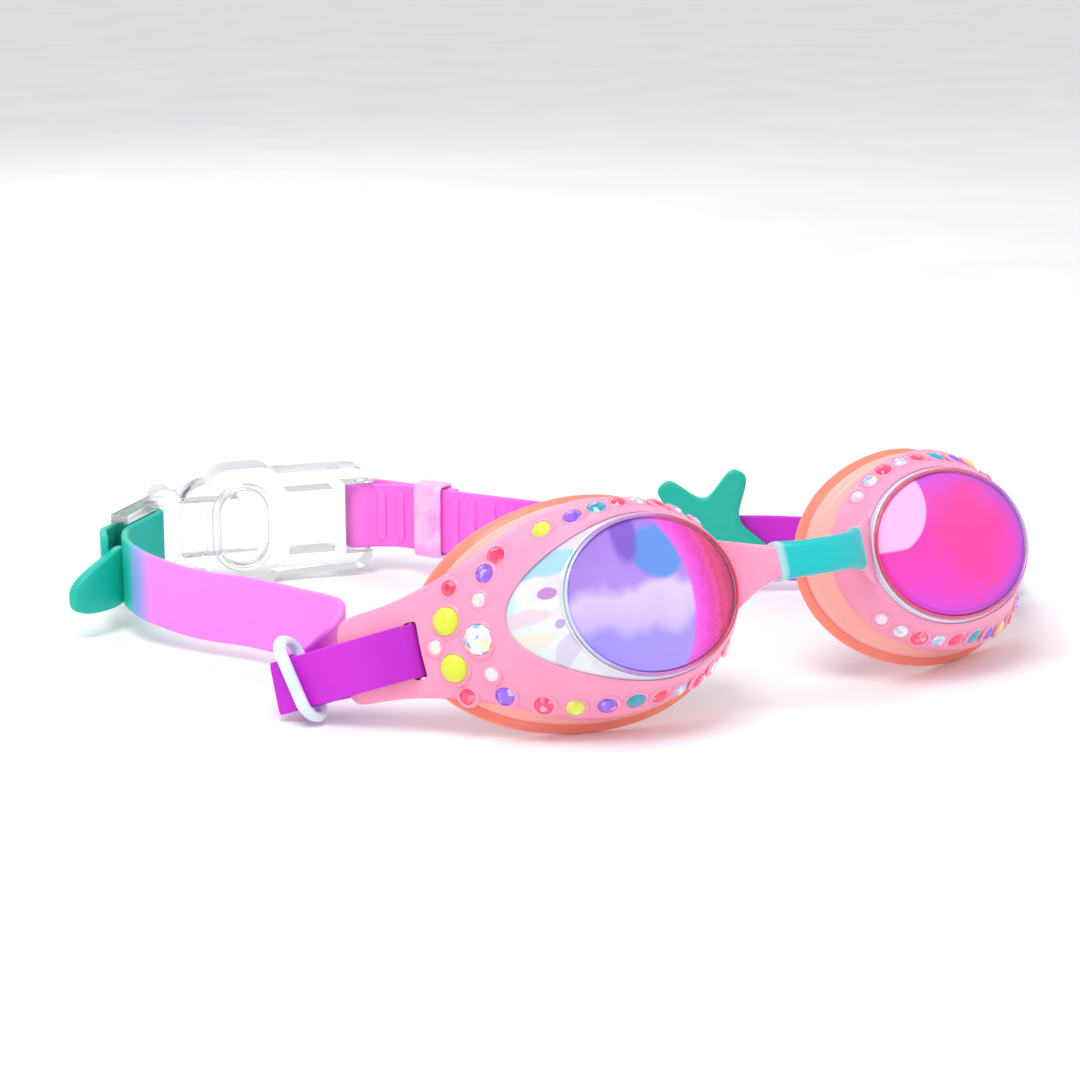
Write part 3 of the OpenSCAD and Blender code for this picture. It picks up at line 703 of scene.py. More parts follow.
def clear_polycarbonate(name, tint="#F6FAFB", edge="#C9D6DE", roughness=0.03, haze=0.0):
    """Clear moulded polycarbonate: bright faces, and grey-blue edges where light is lost inside.

    Faces that turn away pass less light, so the tint follows the facing angle."""
    material, tree, shader = new_material(name)
    turned_away = add_node(tree, "ShaderNodeLayerWeight", {"Blend": 0.35}).outputs["Facing"]
    tree.links.new(
        add_node(
            tree, "ShaderNodeValToRGB", {"Fac": turned_away}, "Color",
            stops=[(0.0, "#FFFFFF"), (0.45, tint), (0.95, edge)]),
        shader.inputs["Base Color"])
    if haze:
        tree.links.new(
            add_node(
                tree, "ShaderNodeBump",
                {"Strength": haze, "Distance": 0.04 * MM, "Height": object_noise(tree, 0.5, 2)},
                "Normal"),
            shader.inputs["Normal"])
    set_shader(shader, Roughness=roughness, IOR=1.32, Transmission_Weight=1.0, Coat_Weight=0.25,
               Coat_Roughness=0.03)
    return material


def edge_coat_and_highlight(name, side, stops):
    """Thin coloured line at the window's edge: the mirror coat where it wraps over the edge, and the pale
    painted highlight line beside it.

    Its colour runs across the window, from the wearer's right to the left."""
    material, tree, shader = new_material(name)
    across, _ = window_place(tree, side)
    drift = add_node(
        tree, "ShaderNodeMath", {0: object_noise(tree, 4), 1: 0.12}, 0, operation="MULTIPLY")
    place = add_node(
        tree, "ShaderNodeMath",
        {
            0: add_node(tree, "ShaderNodeMath", {0: across, 1: 0.45}, 0, operation="MULTIPLY"),
            1: add_node(tree, "ShaderNodeMath", {0: drift, 1: 0.44}, 0, operation="ADD")},
        0, operation="ADD")
    tree.links.new(
        add_node(tree, "ShaderNodeValToRGB", {"Fac": place}, "Color", stops=stops),
        shader.inputs["Base Color"])
    set_shader(shader, Metallic=0.2, Roughness=0.18, Coat_Weight=0.6, Coat_Roughness=0.05, IOR=1.5)
    return material


def milky_plastic(name, code):
    """Milky polypropylene, slightly translucent and smooth."""
    material, tree, shader = new_material(name)
    tree.links.new(shade(tree, code, lighter(code, 0.4), object_noise(tree, 4)),
                   shader.inputs["Base Color"])
    set_shader(shader, Roughness=0.3, IOR=1.49, Subsurface_Weight=0.4, Coat_Weight=0.3,
               Subsurface_Radius=(0.8, 0.9, 1.0), Subsurface_Scale=1.5 * MM)
    return material


# ---------------------------------------------------------------------------------------------
# The cups: frame shells, gaskets, windows and stones
# ---------------------------------------------------------------------------------------------

SIDE_REACH = 6.3                # how far the side window passes the front one
RIM_WALL = 0.9                  # from the window's ellipse to the frame's opening
FRAME_B, WING_B = 21.2, 8.7     # half heights of the frame at the cup and at the wing
WING_TIP, TIP_CORNER = 46.0, 3.0  # the wing's tip from the window's centre, and its corner
NOSE_REACH = 23.4               # the frame's nose edge from the window's centre
BELL_X, BELL_LEN = 6.0, 38.0    # where the frame starts to narrow to the wing, and over what length
TIP_SHARE = 14.0                # degrees of the outline's angle that the square tip takes
FRAME_T = 4.2
LENS_GROW = 1.8                 # how far the lens runs under the frame
SLOT_D, SLOT_LEN, SLOT_H = 33.6, 3.0, 11.2  # the wing's slot: place along the wing, width, height
STRAP_LOW = -0.9                # the strap's middle against the wing's


def ellipse(f, grow=0.0):
    """The window's outline at angles f, grown outwards: half sizes times cosine and sine."""
    return (WINDOW + grow) * np.stack([np.cos(f), np.sin(f)], -1)


def opening(f, grow=0.0):
    """The frame's opening: an ellipse drawn out towards the temple by the squared cosine."""
    c = np.cos(f)
    base = (WINDOW + RIM_WALL + grow) * np.stack([c, np.sin(f)], -1)
    return base + np.stack([SIDE_REACH * np.maximum(0, c) ** 2, 0 * c], -1)


def face_v(p):
    """Depth of the frame's face: slope times the distance outside the window ellipse."""
    r, q = np.linalg.norm(p, axis=-1), np.linalg.norm(p / WINDOW, axis=-1)
    return SLOPE * np.maximum(0, r * (1 - 1 / np.maximum(q, 1e-6)))


def frame_top(x):
    """Half height of the frame: a half ellipse at the nose, then a squared-cosine bell to the wing."""
    nose = FRAME_B * np.sqrt(np.maximum(0, 1 - ((BELL_X - x) / (BELL_X + NOSE_REACH)) ** 2))
    share = np.clip((x - BELL_X) / BELL_LEN, 0, 1)
    bell = WING_B + (FRAME_B - WING_B) * np.cos(share * math.pi / 2) ** 2
    return np.where(x < BELL_X, nose, bell)


def outline(f):
    """The frame's outer edge: a square tip with round corners, then the upper and lower edges."""
    g = np.degrees(np.where(f > math.pi, 2 * math.pi - f, f))
    sign = np.where(f > math.pi, -1, 1)
    turn = np.radians(90 * np.clip(g / TIP_SHARE, 0, 1))
    tip = np.stack([WING_TIP - TIP_CORNER * (1 - np.cos(turn) ** 0.7),
                    WING_B * np.sin(turn) ** 0.7], -1)
    u = np.clip((g - TIP_SHARE) / (180 - TIP_SHARE), 0, 1)
    start = WING_TIP - TIP_CORNER
    x = start - (start + NOSE_REACH) * (1 - np.cos(math.pi * u)) / 2
    edge = np.stack([x, frame_top(x)], -1)
    p = np.where((g < TIP_SHARE)[:, None], tip, edge)
    return p * np.stack([np.ones_like(g), sign], -1)


def full_turn(count):
    """Angles once round, in radians."""
    return np.linspace(0, 2 * math.pi, count, endpoint=False)


def frame_cage(side):
    """Rows round the cup, from the lip over the face and the rim to the back and in again."""
    f = full_turn(180)
    seat, edge = opening(f, 2.0), outline(f)

    def at(t):
        return seat * (1 - t) + edge * t

    rows = [(opening(f, grow), dv) for grow, dv in
            [(0.1, 1.2), (0.0, 0.55), (0.05, 0.1), (0.4, -0.2), (0.95, -0.26), (1.5, -0.1)]]
    rows += [(at(t), dv) for t, dv in
             [(0, 0.02), (0.15, 0), (0.35, 0), (0.55, 0), (0.75, 0), (0.88, 0.02), (0.96, 0.1),
              (0.995, 0.45), (1.0, 1.0), (1.0, FRAME_T - 1.0), (0.995, FRAME_T - 0.4),
              (0.96, FRAME_T - 0.05), (0.85, FRAME_T), (0.55, FRAME_T), (0.25, FRAME_T),
              (0.03, FRAME_T), (0.0, FRAME_T - 0.3)]]
    rows += [(opening(f, 1.95), 1.7), (opening(f, 1.6), 1.35), (opening(f, 0.6), 1.3)]
    return np.stack([cup_point(side, p, face_v(p) + dv) for p, dv in rows])


def wing_point(side, d, n, h):
    """A point of the wing: d along its face from the window's edge, n outwards, h up the cup."""
    d, n, h = np.broadcast_arrays(d, n, h)
    x = CUP_X + WINDOW[0] + d * math.cos(WING) + n * math.sin(WING)
    return lean_to_table(side * x, d * math.sin(WING) - n * math.cos(WING), h)


def cut_through(obj, cutter_shape):
    """Subtracts a closed shape from a piece and keeps the result as the piece's mesh."""
    points, faces = cutter_shape
    tool_mesh = bpy.data.meshes.new("cutter")
    tool_mesh.from_pydata(to_row(points).tolist(), [], faces)
    tool = bpy.data.objects.new("cutter", tool_mesh)
    bpy.context.scene.collection.objects.link(tool)
    cut = obj.modifiers.new("Slot", "BOOLEAN")
    cut.object, cut.operation, cut.solver = tool, "DIFFERENCE", "EXACT"
    result = bpy.data.meshes.new_from_object(obj.evaluated_get(bpy.context.evaluated_depsgraph_get()))
    obj.modifiers.clear()
    obj.data = result
    bpy.data.objects.remove(tool)
    result.polygons.foreach_set("use_smooth", np.full(len(result.polygons), True))
    result.set_sharp_from_angle(angle=math.radians(50))


def stone_axes(side, p):
    """Outward normal and two tangents of the sloping face at front-view point p, in the table frame."""
    turn = math.atan2(p[1], p[0])
    s, c = math.sin(WING), math.cos(WING)
    normal = np.array([s * math.cos(turn), -c, s * math.sin(turn)])
    around = np.array([-math.sin(turn), 0, math.cos(turn)])
    own = np.stack([around, np.cross(normal, around), normal])
    table = lean_to_table(side * own[:, 0], own[:, 1], own[:, 2]) - lean_to_table(0, 0, 0)
    return table, cup_point(side, np.array(p, float), face_v(np.array(p, float)))


def gem_shape(diameter):
    """A chaton cut: a girdle, a ring of kite facets turned half a step, and a low point.

    Radii are shares of the stone's radius; heights are shares of its diameter."""
    sides = 10
    step = 2 * math.pi / sides
    turn = np.arange(sides) * step
    r = diameter / 2
    rings = [(0.94 * r, -0.14 * diameter, 0), (r, 0.05 * diameter, 0),
             (0.56 * r, 0.2 * diameter, step / 2)]
    points = [np.stack([a * np.cos(turn + o), a * np.sin(turn + o), np.full(sides, z)], -1)
              for a, z, o in rings]
    points = np.concatenate(points + [np.array([[0, 0, 0.245 * diameter]])])
    i = np.arange(sides)
    j = (i + 1) % sides
    low, girdle, crown, top = i, i + sides, i + 2 * sides, np.full(sides, 3 * sides)
    faces = np.stack([low, j, j + sides, girdle], -1).tolist()
    faces += np.stack([girdle, j + sides, crown], -1).tolist()
    faces += np.stack([crown, j + sides, j + 2 * sides], -1).tolist()
    faces += np.stack([crown, j + 2 * sides, top], -1).tolist()
    faces.append(i[::-1].tolist())
    return points, faces


def lathe(profile, count):
    """Rows of a profile of (radius, height) turned round its axis."""
    turn = full_turn(count)
    return np.stack([profile[:, :1] * np.cos(turn), profile[:, :1] * np.sin(turn),
                     np.repeat(profile[:, 1:], count, 1)], -1)


def dome_shape(diameter):
    """A cabochon: a quarter ellipse turned round its axis."""
    a = np.linspace(0.02, math.pi / 2, 9)
    profile = np.stack([np.sin(a) * diameter / 2, 0.33 * diameter * np.cos(a)], -1)
    profile = np.concatenate([profile, [[diameter * 0.49, -0.6]]])
    return tube(lathe(profile, 32))


def collar_shape(diameter, width):
    """A soft raised collar: a closed section of a low mound turned round the stone."""
    r = diameter / 2
    section = np.array([[r + width * 1.25, -0.3], [r + width * 1.1, -0.02], [r + width * 0.7, 0.12],
                        [r + width * 0.35, 0.3], [r + 0.12, 0.36], [r - 0.06, 0.22], [r - 0.1, -0.3]])
    return tube(lathe(section, 26), closed=True)


def set_on_face(side, p, shape):
    """A stone-like shape, made about its own axis, set on the face at p."""
    axes, at = stone_axes(side, p)
    points, faces = shape
    if side < 0:
        faces = [f[::-1] for f in faces]
    return at + points @ axes, faces


STONE_ROW = 3.7                 # the row of stones' distance outside the window


def in_row(angle):
    """A place on the row of stones that follows the window, at an angle in degrees."""
    a = math.radians(angle)
    return ((WINDOW[0] + STONE_ROW) * math.cos(a), (WINDOW[1] + STONE_ROW) * math.sin(a))


def on_wing(d, h):
    """A place on the wing, d along its face and h up."""
    return (WINDOW[0] + d * math.cos(WING), h)


STONES = {
    "red": [(in_row(90), 3.6), (in_row(113), 3.4), ((24.0, 13.2), 3.8), (on_wing(22.0, 9.2), 3.2),
            (in_row(-91), 3.6), (in_row(-114), 3.6), ((20.7, -16.3), 3.8), (on_wing(22.0, -11.6), 3.2)],
    "purple": [((10.1, 17.6), 3.8), (on_wing(13.2, 10.3), 3.8), ((10.2, -18.7), 3.8),
               (on_wing(13.0, -13.1), 3.8)],
    "yellow": [((15.9, 16.4), 3.8), ((15.6, -18.0), 3.8)],
    "teal": [((4.9, 18.5), 3.8), ((4.9, -18.9), 3.8)],
    "crystal": [(in_row(101), 3.2), (in_row(124), 3.2), (in_row(-102), 3.2), (in_row(-126), 3.2),
                (on_wing(19.5, -1.7), 6.0)],
    "clear": [(in_row(137), 2.8), (in_row(-140), 2.8), (on_wing(17.2, 5.6), 3.0),
              (on_wing(16.9, -8.6), 3.0), (on_wing(29.0, -1.2), 3.0)],
}
DOMES = [(on_wing(25.3, 3.1), 5.6), (on_wing(25.2, -5.9), 5.6)]


class GOGGLES_OT_frames(bpy.types.Operator):
    """Make the two sloping frame shells, with their strap slots and stone collars"""

    bl_idname = "goggles.frames"
    bl_label = "Frames"

    def execute(self, context):
        pink = moulded_tpe("Moulded pink TPE", context.scene.goggles_colours.frame_pink)
        collar = context.scene.goggles_sizes.collar / MM
        for side, word in SIDES.items():
            shell = make_piece(word + "_frame_shell", tube(frame_cage(side), closed=True), "goggles",
                               pink, replaces=(word + "_frame",), subdivide=1, riding=False)
            section = rounded_section(SLOT_LEN / 2, SLOT_H / 2, 0.8)
            hole = np.stack([wing_point(side, SLOT_D + section[:, 0], n, STRAP_LOW + section[:, 1])
                             for n in (-8.0, 8.0)])
            cut_through(shell, tube(hole))
            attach(shell, "goggles")
            stones = [s for group in STONES.values() for s in group] + DOMES
            mounds = joined([set_on_face(side, p, collar_shape(d, collar)) for p, d in stones])
            make_piece(word + "_stone_collars", mounds, "goggles", pink, subdivide=1)
        return {"FINISHED"}


SEAL_A, SEAL_B, SEAL_X = 32.7, 23.1, 4.6   # half sizes of the flange, and its shift to the temple
SEAL_V, SEAL_WRAP = 17.0, 13.0             # its depth, and how much deeper it gets at the temple
INNER_A, INNER_B, INNER_X = 26.3, 18.4, 3.9  # the same for the hollow inside it


def gasket_cage(side):
    """Rows of the gasket from the hollow's front edge, over the salmon step and the flange, and back in.

    A row is an ellipse between the hollow's (share 0) and the flange's (share 1), at a share of the
    way from the frame's back to the flange's face."""
    f = full_turn(120)

    def at(t):
        middle = INNER_X + (SEAL_X - INNER_X) * t
        return np.stack([middle + (INNER_A + (SEAL_A - INNER_A) * t) * np.cos(f),
                         (INNER_B + (SEAL_B - INNER_B) * t) * np.sin(f)], -1)

    rows = []
    sections = [(0.0, 0.0), (0.25, 0.0), (0.46, 0.0), (0.5, 0.06), (0.5, 0.12), (0.62, 0.15), (0.68, 0.2),
                (0.69, 0.3), (0.69, 0.44), (0.67, 0.5), (0.63, 0.54), (0.64, 0.58), (0.86, 0.6),
                (0.97, 0.63), (1.0, 0.7), (1.0, 0.84), (0.985, 0.94), (0.93, 0.99), (0.75, 1.0),
                (0.4, 1.0), (0.12, 0.96), (0.0, 0.84), (0.0, 0.5), (0.0, 0.2)]
    for t, part in sections:
        p = at(t)
        seal = SEAL_V + SEAL_WRAP * (np.maximum(0, p[:, 0] + 5) / 42) ** 1.5
        front = np.minimum(face_v(p) + FRAME_T + 0.15, seal - 2.4)
        rows.append(cup_point(side, p, front * (1 - part) + seal * part))
    return np.stack(rows)


class GOGGLES_OT_gaskets(bpy.types.Operator):
    """Make the two face gaskets, with a salmon step and a coral flange"""

    bl_idname = "goggles.gaskets"
    bl_label = "Gaskets"

    def execute(self, context):
        silicone = two_layer_silicone(context.scene.goggles_colours)
        for side, word in SIDES.items():
            rows = gasket_cage(side)
            along = np.repeat(np.linspace(0, 1, len(rows)), rows.shape[1])
            make_piece(word + "_face_gasket", tube(rows, closed=True), "goggles",
                       silicone, replaces=(word + "_gasket",), subdivide=2, along=along)
        return {"FINISHED"}


def window_slab(side):
    """The flat front window: shrunken ellipses with a rolled edge and a crown of 0.1 mm."""
    f = full_turn(120)
    share = np.array([0.03, 0.25, 0.5, 0.75, 0.93, 0.985, 1.0, 1.0, 0.96, 0.7, 0.35, 0.03])
    depth = np.array([-0.12, -0.11, -0.09, -0.05, 0.0, 0.08, 0.3, 1.2, 1.5, 1.5, 1.5, 1.5])
    return tube(np.stack([cup_point(side, ellipse(f, -0.5) * s, v) for s, v in zip(share, depth)]))


def window_rim(side, grow, width, v, height):
    """A fine ring round the window: a small ellipse section carried along the window's outline."""
    f = full_turn(160)
    turn = full_turn(10)
    rows = [cup_point(side, ellipse(f, grow + width * math.cos(a)), v - height * math.sin(a))
            for a in turn]
    return tube(np.stack(rows), closed=True)


def side_window(side):
    """The clear wall from the front window's edge back under the frame's lip, with real thickness."""
    f = full_turn(160)
    rows = []
    for t in np.linspace(0, 1, 9):
        p = ellipse(f, 0.1) * (1 - t) + opening(f, LENS_GROW - 0.3) * t
        rows.append((p, face_v(p) + 0.3 + 0.75 * t))
    for t in np.linspace(1, 0, 5):
        p = ellipse(f, -1.2) * (1 - t) + opening(f, LENS_GROW - 0.4) * t
        rows.append((p, face_v(p) + 2.0 + 0.2 * t))
    return tube(np.stack([cup_point(side, p, v) for p, v in rows]), closed=True)


class GOGGLES_OT_lenses(bpy.types.Operator):
    """Make the mirrored front windows, their bright rims and the iridescent side windows"""

    bl_idname = "goggles.lenses"
    bl_label = "Lenses"

    def execute(self, context):
        pale, violet, red = "#D5F1FA", "#B98AE0", "#E23A63"
        wraps = {-1: [(0.0, pale), (0.3, violet), (0.55, "#E070C8"), (0.75, red), (1.0, "#D52C5C")],
                 1: [(0.0, red), (0.6, "#F0567F"), (0.85, "#C66AE0"), (1.0, "#E9D8FF")]}
        for side, word in SIDES.items():
            coat = edge_coat_and_highlight("Mirror coat wrapped on the " + word + " edge", side, wraps[side])
            # A pale painted highlight line round the window, outside the coat's rim.
            line = edge_coat_and_highlight("Clear edge of the " + word + " window", side, [
                (0.0, "#EAF8FC"), (0.5, "#F3E6F6"), (1.0, "#FFB8C8")])
            make_piece(word + "_front_window", window_slab(side), "goggles", mirror_window(side),
                       replaces=(word + "_lens",))
            make_piece(word + "_side_window", side_window(side), "goggles",
                       iridescent_side(side))
            make_piece(word + "_window_rim", window_rim(side, -0.05, 0.3, 0.02, 0.3), "goggles",
                       coat)
            make_piece(word + "_painted_highlight_line", window_rim(side, 0.55, 0.13, 0.5, 0.2), "goggles",
                       line)
        return {"FINISHED"}


class GOGGLES_OT_stones(bpy.types.Operator):
    """Set the faceted stones and the yellow domes in both frames"""

    bl_idname = "goggles.stones"
    bl_label = "Stones"

    def execute(self, context):
        finish = {
            "red": faceted_acrylic("Red acrylic stone", "#FF3F73", "#FFA9C0"),
            "purple": faceted_acrylic("Purple acrylic stone", "#9A5FEA", "#D9BDFF"),
            "yellow": faceted_acrylic("Yellow acrylic stone", "#E6EE52", "#FBFFC0"),
            "teal": faceted_acrylic("Teal acrylic stone", "#00AEC9", "#8FF0FF"),
            "crystal": foiled_crystal("Iridescent crystal stone", "#F4F2F6",
                                      ("#F7F3B0", "#B7A2F5", "#8ED8F5")),
            "clear": foiled_crystal("Clear stone over pink", "#FFE3EE",
                                    ("#FFF6D8", "#FFC4DC", "#E9D2FF")),
        }
        for side, word in SIDES.items():
            for kind, places in STONES.items():
                gems = joined([set_on_face(side, p, gem_shape(d)) for p, d in places])
                node = word + "_" + kind + "_stones"
                make_piece(node + "_cut", gems, "goggles", finish[kind], smooth=False,
                           replaces=(node,))
            domes = joined([set_on_face(side, p, dome_shape(d)) for p, d in DOMES])
            make_piece(word + "_yellow_cabochons", domes, "goggles",
                       moulded_tpe("Yellow acrylic dome", "#E4EC4A", roughness=0.3, glow=0.3),
                       replaces=(word + "_yellow_domes",))
        return {"FINISHED"}


# ---------------------------------------------------------------------------------------------
# The nose bridge and its band
# ---------------------------------------------------------------------------------------------

ARCH_FRONT = -6.7               # depth of the arch's middle, in front of the window plane
ARCH_X, BAR_X = 15.5, 16.4      # where the arch reaches the windows, and where the bar ends
BAR_T = 1.7                     # half thickness of the bar
BAND = (-9.9, 11.5)             # the band's ends


def arch_bar(x, half_t, extra, corner):
    """Rows of the bridge: a round-cornered section carried along the arch.

    Depth grows with the 2.2 power of the distance from the nose line, and height with the 4.5
    power, so the bar is slim in the middle and spreads into a web at the cups. There each row
    bends to run beside the window's ellipse, and the last ones dive into the frame."""
    u = np.abs(x) / ARCH_X
    dive = 1.6 * np.clip((np.abs(x) - 15.9) / 0.5, 0, 1) ** 2
    v = ARCH_FRONT + 9.5 * u**2.2 - np.maximum(0, BAR_T - half_t) + dive
    half_h = (5.6 + 8.0 * u**4.5) / 2 + extra
    middle = 1.4 + 1.4 * u**2 - 1.3 * u**6
    beside = np.clip((u - 0.6) / 0.4, 0, 1) ** 2
    rows = []
    for k in range(len(x)):
        section = rounded_section(half_t[k], half_h[k], corner[k], 6)
        h = middle[k] + section[:, 1]
        bend = beside[k] * (WINDOW[0] + 1) * (1 - np.sqrt(1 - (h / (WINDOW[1] + 1)) ** 2))
        rows.append(lean_to_table(x[k] + np.sign(x[k]) * bend, v[k] + section[:, 0], h))
    return np.stack(rows)


class GOGGLES_OT_bridge(bpy.types.Operator):
    """Make the arched nose bridge and the teal band round it"""

    bl_idname = "goggles.bridge"
    bl_label = "Bridge"

    def execute(self, context):
        colours = context.scene.goggles_colours
        x = np.linspace(-BAR_X, BAR_X, 83)
        half_t = BAR_T - 0.7 * np.clip((np.abs(x) - 11) / 5, 0, 1)
        make_piece("arched_bridge", tube(arch_bar(x, half_t, 0 * x, 0.75 * half_t)),
                   "goggles", moulded_tpe("Moulded pink bridge", colours.frame_pink),
                   replaces=("nose_bridge",))
        ends = np.array([0.0, 0.06, 0.2, 0.5])
        x = np.concatenate([BAND[0] + ends, np.linspace(BAND[0] + 0.8, BAND[1] - 0.8, 35),
                            BAND[1] - ends[::-1]])
        skin = np.full(len(x), 0.7)
        roll = np.array([0.3, 0.5, 0.63, 0.7])
        skin[:4], skin[-4:] = roll, roll[::-1]
        band = arch_bar(x, BAR_T + skin, skin, 1.0 + skin)
        along = np.repeat(np.where(x < 0, x / BAND[0], x / BAND[1]), band.shape[1])
        # The band's ends turn pale teal: a painted highlight on their rounded edges.
        teal = silicone_run("Overmoulded teal band with painted edge highlights", [
            (0.0, colours.teal), (0.88, colours.teal), (0.95, lighter(colours.teal, 0.3)),
            (1.0, lighter(colours.teal, 0.5))], roughness=0.35)
        make_piece("teal_band", tube(band), "goggles", teal, replaces=("bridge_band",),
                   along=along)
        return {"FINISHED"}


# ---------------------------------------------------------------------------------------------
# Straps
# ---------------------------------------------------------------------------------------------

UP, UP_LEAN = (0.0, 0.0, 1.0), (0.0, math.sin(LEAN), math.cos(LEAN))
NEARLY_UP = (0.0, 0.2, 1.0)
STRAP_W, TAIL_W, LOOP_W = 15.0, 10.4, 12.4
STRAP_T = 1.6
WING_WALL = FRAME_T * math.cos(WING)
FRONT_N = 0.25 + STRAP_T / 2     # the tail's middle, outwards from the wing's face
BACK_N = -WING_WALL - 0.3 - STRAP_T / 2
RING_N = FRONT_N - STRAP_T - 0.3  # the layer under the tail where both pass through the ring
RING_D = 58.8                    # the ring's place along the wing
TAIL_DROOP = 0.03                # how far the tail sinks for each millimetre past the slot
FINE = 8                         # points from one station of a strap's route to the next


def turned(at, degrees, s, b):
    """A point at s along and b across a level direction that is turned by degrees from +X."""
    c, n = math.cos(math.radians(degrees)), math.sin(math.radians(degrees))
    return (at[0] + s * c - b * n, at[1] + s * n + b * c, at[2])


# Places, and turns in degrees from +X, of the clasp's tongue, the insert's loop, the keeper and the
# starfish. A bar is how far along its strap's bar is; a layer is the strap's middle beside the bar.
TONGUE, CLASP_TURN = (-54.0, 134.0, CLASP_Z), -13.7
HOUSING_BAR, BAR_LAYER = 29.5, 2.5
LOOP_AT, LOOP_TURN, LOOP_BAR, LAYER = (-69.0, 138.3, CLASP_Z), 219.8, 9.0, 2.3
KEEPER_AT, KEEPER_TURN = (-15.2, 115.2, CLASP_Z), -59.8
STAR_STRAP, STAR_TURN = (34.0, 68.2, 10.4), -32.9


def tail_stations(side):
    """From the cut end, over the front of the wing, through its slot and back to the ring."""
    places = [(64.6, FRONT_N + 0.2), (62, FRONT_N), (54, FRONT_N), (44, FRONT_N),
              (36.2, FRONT_N + 0.1), (34.1, FRONT_N - 0.9), (33.5, (FRONT_N + BACK_N) / 2),
              (34.1, BACK_N + 0.9), (36.2, BACK_N - 0.1), (43, BACK_N), (50.5, BACK_N),
              (53.2, RING_N), (55, RING_N), (RING_D, RING_N)]
    return [(tuple(wing_point(side, d, n, STRAP_LOW - TAIL_DROOP * (d - 34))), UP_LEAN, TAIL_W)
            for d, n in places]


def stretch(at, turn, places, width=STRAP_W):
    """Stations on a straight stretch, each (along, across)."""
    return [(turned(at, turn, s, b), UP, width) for s, b in places]


def u_turn(at, turn, bar, layer, sign, width):
    """Stations half way round a bar, from the layer on one side to the other."""
    places = [(bar, layer), (bar - 0.8 * layer, 0.6 * layer), (bar - layer, 0),
              (bar - 0.8 * layer, -0.6 * layer), (bar, -layer)]
    return stretch(at, turn, [(s, sign * b) for s, b in places], width)


RIGHT_ROUTE = tail_stations(-1) + [
    (tuple(wing_point(-1, d, n, STRAP_LOW)), UP_LEAN, TAIL_W) for d, n in [
        (61.2, RING_N - 0.15), (62.7, RING_N - 1.5), (62.9, -5.2)]] + [
    ((-81.5, 42.0, 6.6), NEARLY_UP, 10.8), ((-76.6, 44.4, 8.4), UP, 12.0),
    ((-73.2, 46.2, 9.9), UP, 13.6), ((-71.9, 48.6, 10.7), UP, 14.6), ((-72.5, 52, 10.9), UP, STRAP_W),
    ((-75.2, 60, 10.9), UP, STRAP_W), ((-80, 73, 10.9), UP, STRAP_W), ((-87, 85, 11), UP, STRAP_W),
    ((-92.2, 96, 12.4), UP, STRAP_W), ((-93.2, 104, 13.4), UP, STRAP_W),
    ((-91.6, 110.5, CLASP_Z), UP, STRAP_W),
] + stretch(LOOP_AT, LOOP_TURN, [(24, LAYER), (16, LAYER)], LOOP_W) + u_turn(
    LOOP_AT, LOOP_TURN, LOOP_BAR, LAYER, 1, LOOP_W) + stretch(
    LOOP_AT, LOOP_TURN, [(16, -LAYER), (24, -LAYER)], LOOP_W) + [
    ((-93.6, 117.4, CLASP_Z), UP, STRAP_W), ((-96.2, 110.6, CLASP_Z), UP, STRAP_W)]

# Stations of the right route at the slot, the last hidden one, the corner, the bend and the wrap
RIGHT_MARKS = (6, 17, 19, 25, 26)

LEFT_ROUTE = tail_stations(1) + [
    (tuple(wing_point(1, 63, RING_N, STRAP_LOW)), UP_LEAN, TAIL_W),
    ((92.6, 41.5, 8.2), UP_LEAN, TAIL_W), ((90.5, 47.2, 9), UP_LEAN, 12),
    ((83.5, 50.2, 9.6), NEARLY_UP, STRAP_W),
    ((72, 50.8, 9.4), UP, STRAP_W), ((60, 53.4, 9.6), UP, STRAP_W),
] + stretch(STAR_STRAP, STAR_TURN, [(12, 0), (6, 0), (0, 0), (-6, 0), (-12, 0)]) + [
    ((14, 79.6, 12.4), UP, STRAP_W), ((4.4, 85.8, 13.2), UP, STRAP_W),
] + stretch(KEEPER_AT, KEEPER_TURN, [(25, 0), (19, 0), (12, 0), (5, 0), (-1.5, 0), (-6, 0)]) + stretch(
    TONGUE, CLASP_TURN, [(HOUSING_BAR + 3.5, -BAR_LAYER)]) + u_turn(
    TONGUE, CLASP_TURN, HOUSING_BAR, BAR_LAYER, -1, STRAP_W) + stretch(
    TONGUE, CLASP_TURN, [(HOUSING_BAR + 4, BAR_LAYER)]) + stretch(
    KEEPER_AT, KEEPER_TURN, [(-6, 2.0), (-1, 2.0), (4, 2.0), (8.5, 2.0)])


def smooth_route(stations):
    """Catmull-Rom through the stations: points, up vectors, widths and length so far, as arrays.

    Between stations b and c, with a before and d after, the point at t is
    (2b + (c-a)t + (2a-5b+4c-d)t^2 + (3b-a-3c+d)t^3) / 2."""
    s = np.array([(*p, *u, w) for p, u, w in stations], float)
    padded = np.concatenate([s[:1], s, s[-1:]])
    t = (np.arange(FINE) / FINE)[None, :, None]
    a, b, c, d = (padded[k : k + len(s) - 1][:, None] for k in range(4))
    route = 0.5 * (2 * b + (c - a) * t + (2 * a - 5 * b + 4 * c - d) * t**2
                   + (3 * b - a - 3 * c + d) * t**3)
    route = np.concatenate([route.reshape(-1, 7), s[-1:]])
    points, up, width = route[:, :3], route[:, 3:6], route[:, 6]
    run = np.concatenate([[0], np.cumsum(np.linalg.norm(np.diff(points, axis=0), axis=1))])
    return points, up / np.linalg.norm(up, axis=1)[:, None], width, run


def sides_of(points, up):
    """The direction across the strap's face at each point: along the route, crossed with up."""
    along = np.gradient(points, axis=0)
    side = np.cross(along / np.linalg.norm(along, axis=1)[:, None], up)
    return side / np.linalg.norm(side, axis=1)[:, None]


